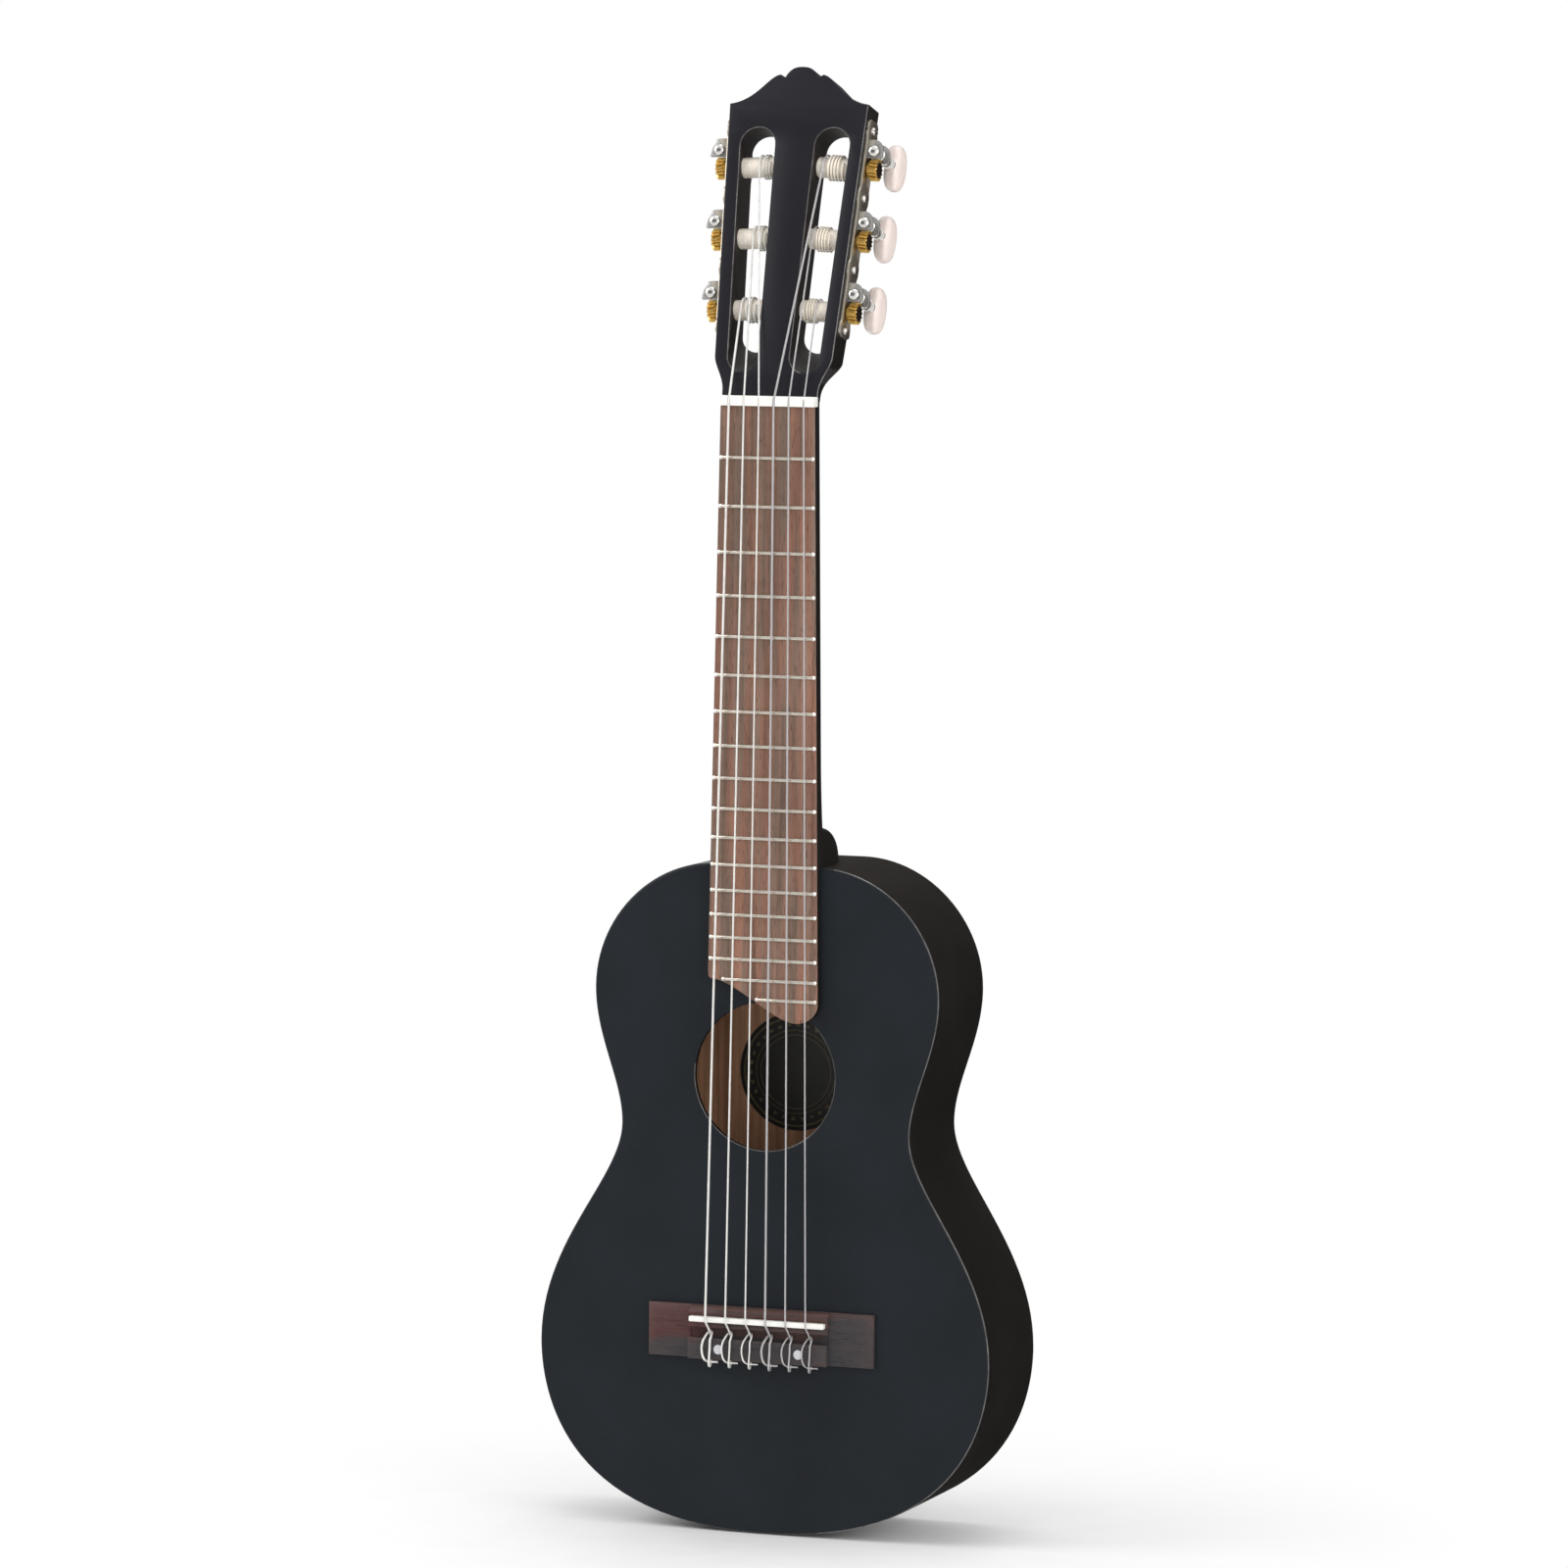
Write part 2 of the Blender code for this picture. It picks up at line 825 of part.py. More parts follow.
def slot_edge(s, outer):
    """Distance from the centreline to a slot's inner or outer wall."""
    share = (s - slot_end_height) / (slot_top_height - slot_end_height)
    centre = slot_end_offset + (slot_top_offset - slot_end_offset) * share
    radius = slot_end_radius + (slot_top_radius - slot_end_radius) * share
    return centre + radius if outer else centre - radius


def head_half_width(s):
    share = (s - head_flare_end) / (head_corner_height - head_flare_end)
    return (head_flare_width + (head_top_width - head_flare_width) * share) / 2


def make_neck():
    mesh = prism([head_outline()], -head_thickness, 0)

    def on_back_rim(first, second):
        low = -head_thickness + glue_gap
        return max(first.z, second.z) < low and max(first.y, second.y) > head_flare_start

    bevel_edges(mesh, head_back_edge_radius, 2, on_back_rim)
    mesh.transform(head_frame)
    neck = new_object("neck", mesh, black_finish)
    seat = box((-head_throat_width, -2 * nut_length, -nut_length),
               (head_throat_width, 0, nut_length + glue_gap))
    cut(neck, seat, "nut_seat")
    combine(neck, make_neck_shaft(), "UNION", "neck_shaft")
    margin = head_back_edge_radius
    for side in (1, -1):
        slot = prism([slot_outline(side)], -head_thickness - margin, margin)
        middle = (slot_end_height + slot_top_height) / 2
        for vertex in slot.vertices:
            if vertex.co.y < middle:
                vertex.co.y -= slot_ramp_run * vertex.co.z / head_thickness
        slot.transform(head_frame)
        cut(neck, slot, f"slot_cutter_{'treble' if side > 0 else 'bass'}")
    for number in range(1, 7):
        cutter = roller_cutter(number)
        modifier = neck.modifiers.new(cutter.name, "BOOLEAN")
        modifier.operation = "DIFFERENCE"
        modifier.solver = "EXACT"
        modifier.object = cutter
    smooth(neck)


# Tuners are drawn in a frame on the side of the head: local X points out from
# the side, Y runs up along it and Z points to the front. Bass parts are mirrored.

side_splay = math.atan2((head_top_width - head_flare_width) / 2,
                        head_corner_height - head_flare_end)


def string_side(number):
    return 1 if number <= 3 else -1


def roller_level(number):
    """Height of a string's roller along the head."""
    order = number - 1 if number <= 3 else 6 - number
    return roller_heights[order]


def side_frame(side):
    """Frame on the head's side, its Y zero level with the nut."""
    lean = Matrix.Rotation(-side * side_splay, 4, "Z")
    foot = head_half_width(0.0)
    return head_frame @ Matrix.Translation((side * foot, 0, 0)) @ lean


def side_place(number, out, up, depth):
    """World frame at a place on the side of the head that holds a string."""
    side = string_side(number)
    return side_frame(side) @ Matrix.Translation((side * out, up, -depth))


def up_along_side(s):
    return s / math.cos(side_splay)


def place_tuner_part(item, number, out, up, depth):
    """Puts a part drawn for the treble side on its string's side."""
    if string_side(number) < 0:
        mesh = take_mesh_keep(item)
        mirror_mesh(mesh)
        item.modifiers.clear()
        item.data = mesh
    item.matrix_world = side_place(number, out, up, depth)
    return item


def take_mesh_keep(item):
    """The finished mesh of an object that stays in the scene."""
    mesh = mesh_of(item)
    mesh.materials.clear()
    for slot in item.data.materials:
        mesh.materials.append(slot)
    return mesh


def roller_span(number):
    """Where the slot's walls lie along the roller, measured from the side."""
    s = roller_level(number)
    outer = slot_edge(s, True) - head_half_width(s)
    inner = slot_edge(s, False) - head_half_width(s)
    return inner, outer


def turn_to_x(mesh):
    """Turns a mesh drawn about Z so that its Z points along +X."""
    mesh.transform(Matrix.Rotation(math.radians(90.0), 4, "Y"))


def roller_cutter(number):
    """Bearing hole through the head's rail and blind hole in its centre bar."""
    inner, outer = roller_span(number)
    gap = roller_bearing_gap
    profile = [(0, 0.004), (roller_radius + gap, 0.004),
               (roller_radius + gap, outer - 0.002),
               (roller_pin_radius + gap, outer - 0.002),
               (roller_pin_radius + gap, inner - roller_pin_length - gap),
               (0, inner - roller_pin_length - gap)]
    item = turned(f"roller_cutter_{number}", profile, round_steps)
    mesh = take_mesh_keep(item)
    item.modifiers.clear()
    item.data = mesh
    turn_to_x(mesh)
    return place_tuner_part(item, number, 0, up_along_side(roller_level(number)), roller_depth)


def lane_out(number):
    """Place of a string along its roller, measured from the head's side."""
    return string_lane[number - 1] - head_half_width(roller_level(number))


def winding_radius(number):
    return roller_radius + winding_roller_gap + string_diameters[number - 1] / 2


def winding_pitch(number):
    return string_diameters[number - 1] + winding_pitch_gap


def winding_place(number, turns):
    """Place of a winding along its roller after some turns.

    Its last half turn is twice as steep, to keep its end clear of the rest."""
    steep = max(0.0, turns - winding_turns[number - 1] + 0.5)
    return lane_out(number) + winding_direction[number - 1] * winding_pitch(number) * (
        1 + turns + steep)


def make_roller(number):
    inner, outer = roller_span(number)
    gap = roller_bearing_gap
    end = gear_plane + gear_width / 2
    profile = [(0, end), (roller_shaft_radius, end), (roller_shaft_radius, -gap),
               (roller_radius, -gap), (roller_radius, inner + gap),
               (roller_pin_radius, inner + gap),
               (roller_pin_radius, inner - roller_pin_length),
               (0, inner - roller_pin_length)]
    item = turned(f"roller_{number}", profile, round_steps, roller_plastic)
    mesh = take_mesh_keep(item)
    item.modifiers.clear()
    item.data = mesh
    turn_to_x(mesh)
    hole_radius = string_diameters[number - 1] / 2 + roller_hole_clearance
    hole = cylinder(hole_radius, -2 * roller_radius, 2 * roller_radius, 8)
    last = winding_place(number, winding_turns[number - 1])
    hole.transform(Matrix.Translation((last, winding_bend_radius, 0)))
    helper = new_object("helper", item.data)
    cut(helper, hole, "string_hole")
    item.data = take_mesh_keep(helper)
    bpy.data.objects.remove(bpy.data.objects["string_hole"])
    bpy.data.objects.remove(helper)
    item.data.materials.clear()
    item.data.materials.append(roller_plastic)
    smooth(item)
    return place_tuner_part(item, number, 0, up_along_side(roller_level(number)), roller_depth)


def gear_outline(bore):
    """Outline of the gear wheel and of its bore."""
    tip = gear_pitch_radius + gear_addendum
    root = gear_pitch_radius - gear_dedendum
    step = 2 * math.pi / gear_teeth
    points = []
    for tooth in range(gear_teeth):
        middle = tooth * step
        for share, radius in ((-0.5 * (2 * gear_tooth_share - gear_tip_share), root),
                              (-0.5 * gear_tip_share, tip), (0.5 * gear_tip_share, tip),
                              (0.5 * (2 * gear_tooth_share - gear_tip_share), root)):
            angle = middle + share * step
            points.append((radius * math.cos(angle), radius * math.sin(angle)))
    hole = arc_points((0, 0), bore, 0, 2 * math.pi, round_steps)
    return [points, hole[:-1]]


def make_gear(number):
    """A wheel whose teeth slant to follow the worm, with a collar behind it."""
    bore = (roller_shaft_radius + shaft_fit) / math.cos(math.pi / round_steps)
    mesh = prism(gear_outline(bore), -gear_width / 2, gear_width / 2)
    slant = gear_module_pitch / (2 * math.pi * worm_pitch_radius) / gear_pitch_radius
    for vertex in mesh.vertices:
        radius = math.hypot(vertex.co.x, vertex.co.y)
        if radius > gear_pitch_radius - gear_dedendum - glue_gap:
            angle = math.atan2(vertex.co.y, vertex.co.x) + slant * vertex.co.z
            vertex.co.x = radius * math.cos(angle)
            vertex.co.y = radius * math.sin(angle)
    low = -(gear_plane - plate_outer - running_gap)
    collar = prism([arc_points((0, 0), gear_collar_radius, 0, 2 * math.pi, round_steps)[:-1],
                    arc_points((0, 0), bore, 0, 2 * math.pi, round_steps)[:-1]],
                   low, -gear_width / 2 + running_gap)
    item = new_object(f"tuner_gear_{number}", mesh, brass)
    helper = combine(item, collar, "UNION", "collar")
    joined = take_mesh_keep(item)
    item.modifiers.clear()
    bpy.data.objects.remove(helper)
    item.data = joined
    # Drawn about Z with a tooth at +X: now Z becomes out and the tooth points up.
    item.data.transform(Matrix(((0, 0, 1, 0), (1, 0, 0, 0), (0, 1, 0, 0), (0, 0, 0, 1))))
    return place_tuner_part(item, number, gear_plane,
                            up_along_side(roller_level(number)), roller_depth)


def worm_thread():
    """The worm's thread as one closed helical bar."""
    lead = gear_module_pitch
    core = worm_pitch_radius - worm_dedendum - running_gap
    crest = worm_pitch_radius + worm_addendum
    foot = lead * (2 * worm_thread_share - worm_tip_share) / 2
    tip = lead * worm_tip_share / 2
    profile = [(crest, tip), (crest, -tip), (core, -foot), (core, foot)]
    mesh = bpy.data.meshes.new("thread")
    mesh.from_pydata([(r, 0, z) for r, z in profile], [(0, 1), (1, 2), (2, 3), (3, 0)], [])
    helper = new_object("thread", mesh)
    turns = worm_turns - 1
    screw = helper.modifiers.new("turn", "SCREW")
    screw.angle = 2 * math.pi * turns
    screw.screw_offset = lead * turns
    screw.steps = int(worm_steps_per_turn * turns)
    screw.render_steps = screw.steps
    thread = take_mesh(helper)
    work = bmesh.new()
    work.from_mesh(thread)
    bmesh.ops.holes_fill(work, edges=[e for e in work.edges if e.is_boundary], sides=0)
    bmesh.ops.recalc_face_normals(work, faces=work.faces)
    work.to_mesh(thread)
    work.free()
    thread.transform(Matrix.Translation((0, 0, -lead * turns / 2)))
    return thread


def make_worm(number):
    """A worm between two bearing ears, with a stem that carries the button."""
    root = worm_pitch_radius - worm_dedendum
    ear_front = ear_offset + ear_thickness
    gap = running_gap
    front = ear_front + gap + worm_head_length
    back = -(ear_front + worm_stem_length + button_bore_depth)
    profile = [(0, front), (worm_head_radius * 0.8, front),
               (worm_head_radius, front - worm_head_length / 2),
               (worm_head_radius, ear_front + gap), (worm_journal_radius, ear_front + gap),
               (worm_journal_radius, ear_offset - gap), (root, ear_offset - gap),
               (root, -ear_offset + gap), (worm_journal_radius, -ear_offset + gap),
               (worm_journal_radius, -ear_front - gap), (root, -ear_front - gap),
               (root, -ear_front - gap - ear_thickness),
               (worm_stem_radius, -ear_front - gap - ear_thickness),
               (worm_stem_radius, back), (0, back)]
    item = turned(f"worm_{number}", profile, worm_steps_per_turn, nickel)
    thread = worm_thread()
    thread.transform(Matrix.Rotation(worm_phase(), 4, "Z"))
    helper = combine(item, thread, "UNION", "thread_solid")
    mesh = take_mesh_keep(item)
    item.modifiers.clear()
    bpy.data.objects.remove(helper)
    item.data = mesh
    return place_tuner_part(item, number, gear_plane, worm_level(number), roller_depth)


def worm_level(number):
    return up_along_side(roller_level(number)) + centre_distance


def worm_phase():
    """Turns the thread so that the gear's middle tooth lies between two turns."""
    return math.pi / 2 - math.pi * (worm_turns - 1)


def button_mesh():
    """A flattened button with full corners, drawn about the stem's axis."""
    mesh = bpy.data.meshes.new("button")
    work = bmesh.new()
    bmesh.ops.create_uvsphere(work, u_segments=14, v_segments=8, radius=1)
    power = 2 / button_rounding
    for vertex in work.verts:
        x, y, z = vertex.co
        flat = math.hypot(x, y)
        scale = flat ** power / flat if flat > 1e-6 else 0.0
        height = math.copysign(abs(z) ** power, z)
        vertex.co = (y * scale * button_width / 2, x * scale * button_height / 2,
                     height * button_length / 2)
    bmesh.ops.recalc_face_normals(work, faces=work.faces)
    work.to_mesh(mesh)
    work.free()
    return mesh


def make_button(number):
    front_end = ear_offset + ear_thickness + worm_stem_length
    item = new_object(f"button_{number}", button_mesh(), button_plastic)
    radius = (worm_stem_radius + shaft_fit) / math.cos(math.pi / worm_steps_per_turn)
    bore = cylinder(radius, button_length / 2 - button_bore_depth - shaft_fit,
                    button_length, worm_steps_per_turn)
    helper = cut(item, bore, "button_bore")
    mesh = take_mesh_keep(item)
    item.modifiers.clear()
    bpy.data.objects.remove(helper)
    mesh.transform(Matrix.Translation((0, 0, -front_end - button_length / 2)))
    item.data = mesh
    smooth(item)
    return place_tuner_part(item, number, gear_plane, worm_level(number), roller_depth)


def plate_outline():
    """One side plate seen from outside, with a lobe around each screw."""
    wide = plate_width / 2
    lobe = plate_lobe_width / 2
    half = plate_lobe_length / 2
    low = up_along_side(plate_low_end)
    high = up_along_side(plate_high_end)
    edge = [(wide - plate_end_scallop, low)]
    for height in plate_screw_heights:
        middle = up_along_side(height)
        for share, out in ((-1, wide), (-0.65, lobe * 0.94), (-0.25, lobe),
                           (0.25, lobe), (0.65, lobe * 0.94), (1, wide)):
            if low < middle + half * share < high - half / 2:
                edge.append((out, middle + half * share))
    scallop = plate_end_scallop
    edge += [(wide - scallop, high - half * 0.45), (wide - scallop / 2, high - half * 0.25),
             (wide - 2 * scallop, high)]
    return edge + [(-x, y) for x, y in reversed(edge)]


def make_plate(side):
    """A thin plate along the head's side with two bearing ears for each worm."""
    mesh = prism([plate_outline()], glue_gap, plate_outer)
    # Drawn with the outline's X along the head's depth: turned to face outward.
    mesh.transform(Matrix(((0, 0, 1, 0), (0, 1, 0, 0), (-1, 0, 0, 0), (0, 0, 0, 1))))
    item = new_object(f"tuner_plate_{'treble' if side > 0 else 'bass'}", mesh, nickel)
    helpers = []
    ear_root = glue_gap + plate_thickness / 2
    for order, height in enumerate(roller_heights):
        up = up_along_side(height) + centre_distance
        outline = [(ear_root, up - ear_drop), (gear_plane + ear_reach, up - ear_drop)]
        outline += [(gear_plane + ear_reach * x, up + ear_rise * y)
                    for x, y in arc_points((0, 0), 1, 0, math.pi / 2, 6)]
        outline.append((ear_root, up + ear_rise))
        hole = arc_points((gear_plane, up), worm_journal_radius + running_gap,
                          0, 2 * math.pi, 10)[:-1]
        for end in (1, -1):
            near = ear_offset if end > 0 else -ear_offset - ear_thickness
            ear = prism([outline, hole], near, near + ear_thickness)
            helpers.append(combine(item, ear, "UNION", f"ear_{order}_{end}"))
        shaft = cylinder(roller_shaft_radius + running_gap, -plate_outer, 2 * plate_outer, 10)
        turn_to_x(shaft)
        shaft.transform(Matrix.Translation((0, up_along_side(height), 0)))
        helpers.append(cut(item, shaft, f"shaft_hole_{order}"))
    mesh = take_mesh_keep(item)
    item.modifiers.clear()
    for helper in helpers:
        bpy.data.objects.remove(helper)
    item.data = mesh
    if side < 0:
        mirror_mesh(mesh)
    item.matrix_world = side_frame(side) @ Matrix.Translation((0, 0, -roller_depth))


# Fingerboard, nut, bridge and saddle

def board_outline():
    """The board from above: its end slants across the sound hole."""
    bass_end = -board_bass_end_to_nut
    treble_end = -board_treble_end_to_nut
    lowest = (board_lowest_offset, -board_lowest_to_nut)
    bass = board_half_width(bass_end)
    treble = board_half_width(treble_end)
    corner = board_corner_radius
    points = [(board_half_width(0), 0.0), (-board_half_width(0), 0.0)]
    points.append((-board_half_width(bass_end + corner), bass_end + corner / 2))
    points += bezier_points(
        points[-1], (-bass, bass_end - corner / 2), (-bass + corner / 2, bass_end - corner / 2),
        (-bass + corner, bass_end - corner / 2), 3)
    start = points[-1]
    points += bezier_points(
        start, (start[0] + 0.012, start[1] - 0.002),
        (lowest[0] - 0.014, lowest[1] + 0.002), lowest, 7)
    points += bezier_points(
        lowest, (lowest[0] + 0.005, lowest[1] - 0.0005),
        (treble - 0.003, treble_end - 0.004), (treble, treble_end), 5)
    return points


def make_fingerboard():
    """A board drawn from its side, frets and all, trimmed to its outline."""
    base = -glue_gap
    top = -board_thickness
    crown = -fret_crown_height
    length = board_lowest_to_nut + fret_width * 2
    profile = [(base, 0.0), (top, 0.0)]
    for number in range(1, fret_count + 1):
        z = fret_z(number)
        half = fret_width / 2
        tip = fret_crown_width / 2
        profile += [(top, z + half), (crown, z + tip), (crown, z - tip), (top, z - half)]
    profile += [(top, -length), (base, -length)]
    reach = board_half_width(-board_lowest_to_nut) * 2
    mesh = prism([profile], -reach, reach)
    # The drawing's X is the world's Y and its Y is the world's Z.
    mesh.transform(Matrix(((0, 0, 1, 0), (1, 0, 0, 0), (0, 1, 0, 0), (0, 0, 0, 1))))
    item = new_object("fingerboard", mesh, rosewood)
    trim = prism([board_outline()], -fret_height, 2 * fret_crown_height)
    stand_up(trim)
    combine(item, trim, "INTERSECT", "board_trim")


def string_x_nut(number):
    return (3.5 - number) * string_spacing_nut


def string_x_saddle(number):
    return (3.5 - number) * string_spacing_saddle


def make_nut():
    half = board_half_width(0)
    top = fret_crown_height + nut_rise
    front = glue_gap
    profile = [(-glue_gap, front), (-top, front), (-top, nut_length * nut_crown_share),
               (-top + nut_rise * 0.5, nut_length), (-glue_gap, nut_length)]
    mesh = prism([profile], -half, half)
    mesh.transform(Matrix(((0, 0, 1, 0), (1, 0, 0, 0), (0, 1, 0, 0), (0, 0, 0, 1))))
    item = new_object("nut", mesh, ivory)
    for number in range(1, 7):
        leaving = nut_leaving(number)
        before = leaving - Vector((0, 0, 2 * nut_length))
        towards = (string_touch(number) - leaving).normalized()
        radius = string_diameters[number - 1] / 2 + nut_slot_clearance
        groove = take_mesh(tube("groove", [before, leaving, leaving + 2 * nut_length * towards],
                                radius / math.cos(math.pi / 6), 1))
        cut(item, groove, f"nut_groove_{number}")


def make_bridge():
    front = saddle_z + bridge_front_to_saddle
    rear = front - bridge_length
    channel_front = front - saddle_ridge_length
    block_front = rear + tie_block_length
    half = bridge_width / 2
    flat = half - bridge_wing_slope
    corners = [(x, -y, z) for x in (-half, half) for z in (rear, front)
               for y in (glue_gap, bridge_wing_edge_height)]
    corners += [(x, -bridge_wing_height, z) for x in (-flat, flat)
                for z in (rear + bridge_wing_rear_slope, front - bridge_wing_front_slope)]
    bridge = new_object("bridge", hull(corners), dark_rosewood)
    lead = saddle_ridge_height - bridge_wing_height
    centre = [(-glue_gap, front), (-bridge_wing_height, front),
              (-saddle_ridge_height, front - lead), (-saddle_ridge_height, channel_front),
              (-channel_height, channel_front - lead / 2), (-channel_height, block_front),
              (-tie_block_height, block_front), (-tie_block_height, rear + glue_gap),
              (-glue_gap, rear + glue_gap)]
    middle = prism([centre], -bridge_centre_width / 2, bridge_centre_width / 2)
    middle.transform(Matrix(((0, 0, 1, 0), (1, 0, 0, 0), (0, 1, 0, 0), (0, 0, 0, 1))))
    hollow = box((-bridge_centre_width / 2, -tie_block_height, block_front),
                 (bridge_centre_width / 2, -channel_height, channel_front - lead / 2))
    cut(bridge, hollow, "channel_cutter")
    combine(bridge, middle, "UNION", "bridge_centre")
    slot = box((-saddle_length / 2 - glue_gap, -2 * saddle_height,
                saddle_z - saddle_thickness / 2 - glue_gap),
               (saddle_length / 2 + glue_gap, -saddle_ridge_height + saddle_slot_depth,
                saddle_z + saddle_thickness / 2 + glue_gap))
    cut(bridge, slot, "saddle_slot")
    for number in range(1, 7):
        radius = string_diameters[number - 1] / 2 + tie_hole_clearance
        hole = cylinder(radius, rear - tie_block_length, block_front + tie_block_length / 4, 8)
        hole.transform(Matrix.Translation(
            (string_x_saddle(number) + tie_hole_offset, -tie_hole_height, 0)))
        cut(bridge, hole, f"tie_hole_{number}")
    for name, number in (("treble", 1), ("bass", 5)):
        seat = cylinder(dot_radius + glue_gap, 0, 2 * tie_block_height, round_steps)
        seat.transform(Matrix.Rotation(math.radians(90.0), 4, "X"))
        seat.transform(Matrix.Translation(
            (dot_x(number), -tie_block_height + dot_depth + glue_gap, dot_z(rear))))
        cut(bridge, seat, f"dot_seat_{name}")
        dot = cylinder(dot_radius, 0, dot_depth, round_steps)
        dot.transform(Matrix.Rotation(math.radians(90.0), 4, "X"))
        dot.transform(Matrix.Translation(
            (dot_x(number), -tie_block_height + dot_depth, dot_z(rear))))
        new_object(f"bridge_dot_{name}", dot, pearl)


def dot_x(number):
    return (string_x_saddle(number) + string_x_saddle(number + 1)) / 2 + tie_hole_offset / 2


def dot_z(rear):
    return rear + tie_block_length / 2


def make_saddle():
    low = saddle_ridge_height - saddle_slot_depth + glue_gap
    mesh = box((-saddle_length / 2, -saddle_height, saddle_z - saddle_thickness / 2),
               (saddle_length / 2, -low, saddle_z + saddle_thickness / 2))

    def on_crown(first, second):
        return max(first.y, second.y) < -saddle_height + glue_gap

    bevel_edges(mesh, saddle_edge_radius, 2, on_crown)
    new_object("saddle", mesh, ivory)


# Strings: each runs from its tie on the bridge, over saddle and nut, to its roller

tie_hole_offset = 0.0010

# Steps of a tie, measured across from the string's place on the saddle, along
# from the tie block's front face, and out from the soundboard.
tie_route = (
    (0.0052, -0.0112, 0.0062),
    (0.0026, -0.0112, 0.0068),
    (0.0002, -0.0110, 0.0074),
    (-0.0010, -0.0096, 0.0088),
    (-0.0020, -0.0070, 0.0086),
    (-0.0022, -0.0040, 0.0086),
    (-0.0016, -0.0012, 0.0086),
    (-0.0010, 0.0004, 0.0078),
    (-0.0004, 0.0022, 0.0054),
    (0.0006, 0.0031, 0.0041),
    (0.0017, 0.0025, 0.0052),
    (0.0022, 0.0012, 0.0074),
    (0.0020, -0.0006, 0.0086),
    (0.0018, -0.0050, 0.0085),
    (0.0016, -0.0098, 0.0088),
    (0.0015, -0.0118, 0.0088),
    (0.0013, -0.0131, 0.0078),
    (0.0012, -0.0134, 0.0062),
    (0.0010, -0.0128, 0.0050),
    (0.0010, -0.0112, 0.0044),
)


def tie_points(number):
    """The tie, from the string's tail to the front mouth of its hole."""
    x = string_x_saddle(number)
    block_front = saddle_z + bridge_front_to_saddle - bridge_length + tie_block_length
    points = [Vector((x + across, -out, block_front + along))
              for across, along, out in tie_route]
    hole_x = x + tie_hole_offset
    points.append(Vector((hole_x, -tie_hole_height, block_front - tie_block_length)))
    points.append(Vector((hole_x, -tie_hole_height, block_front + glue_gap)))
    return points


def roller_centre(number):
    """Centre of a roller's axis in the side frame, as (up, front)."""
    return Vector((up_along_side(roller_level(number)), -roller_depth))


def nut_leaving(number):
    """Where a string starts to slope back behind the nut."""
    diameter = string_diameters[number - 1]
    return Vector((string_x_nut(number), -nut_string_height(diameter),
                   nut_length * nut_crown_share))


def string_touch(number, beyond=0.0):
    """Where a string meets its roller, or lies on it an angle further round."""
    frame = side_frame(string_side(number))
    start = frame.inverted() @ nut_leaving(number)
    centre = roller_centre(number)
    radius = winding_radius(number)
    reach = centre - Vector((start.y, start.z))
    angle = beyond - math.atan2(reach.y, reach.x) - math.asin(radius / reach.length)
    return frame @ Vector((string_side(number) * lane_out(number),
                           centre.x + radius * math.sin(angle),
                           centre.y + radius * math.cos(angle)))


def string_points(number):
    """The string's whole route, from its tail on the bridge to its roller."""
    diameter = string_diameters[number - 1]
    points = tie_points(number)
    over = saddle_string_height(diameter)
    half = saddle_thickness / 2
    x = string_x_saddle(number)
    points.append(Vector((x, -over + string_gap / 2, saddle_z - half * 0.6)))
    points.append(Vector((x, -over, saddle_z + half * 0.6)))
    leaving = nut_leaving(number)
    points += [Vector((leaving.x, leaving.y, glue_gap)), leaving]
    for i in range(string_wrap_steps + 1):
        points.append(string_touch(number, string_wrap_angle * i / string_wrap_steps))
    return points


def make_string(number):
    material = bass_string if number > 3 else treble_string
    tube(f"string_{number}", string_points(number), string_diameters[number - 1] / 2,
         string_resolution, material)


def winding_points(number):
    """Turns on the roller, then a bend into its hole and out at the far side.

    Drawn about the roller's axis: X along it, Y up the head, Z to the front."""
    radius = winding_radius(number)
    turns = winding_turns[number - 1]
    last = winding_place(number, turns)
    steps = int(round(turns * winding_steps_per_turn))
    points = []
    bend = winding_bend_radius
    for i in range(steps + 1):
        done = turns * i / steps
        angle = 2 * math.pi * (done - turns)
        points.append(Vector((winding_place(number, done),
                              radius * math.sin(angle), radius * math.cos(angle))))
    for i in range(1, 4):
        angle = math.pi / 2 * i / 3
        points.append(Vector((last, bend * math.sin(angle),
                              radius - bend + bend * math.cos(angle))))
    points.append(Vector((last, bend, -(roller_radius + winding_end_length))))
    return points


def least_self_gap(points, diameter, skip):
    """Least gap between stretches of a tube that aren't next to each other."""
    fine = []
    for first, second in zip(points, points[1:]):
        pieces = max(1, int((second - first).length / (diameter / 2)))
        fine += [first.lerp(second, i / pieces) for i in range(pieces)]
    fine.append(points[-1])
    travelled = [0.0]
    for first, second in zip(fine, fine[1:]):
        travelled.append(travelled[-1] + (second - first).length)
    least = math.inf
    for i, here in enumerate(fine):
        for j in range(i + 1, len(fine)):
            if travelled[j] - travelled[i] > skip:
                least = min(least, (here - fine[j]).length - diameter)
    return least


def make_winding(number):
    diameter = string_diameters[number - 1]
    points = winding_points(number)
    gap = least_self_gap(points, diameter, 4 * diameter)
    print(f"winding_{number}: least gap to itself {gap * 1000:.2f} mm")
    material = bass_string if number > 3 else treble_string
    item = tube(f"winding_{number}", points, diameter / 2, 1, material)
    return place_tuner_part(item, number, 0, up_along_side(roller_level(number)), roller_depth)


# Build

clear_scene()
parts = make_collection(collection_name)
cutters = make_collection(cutter_collection_name)

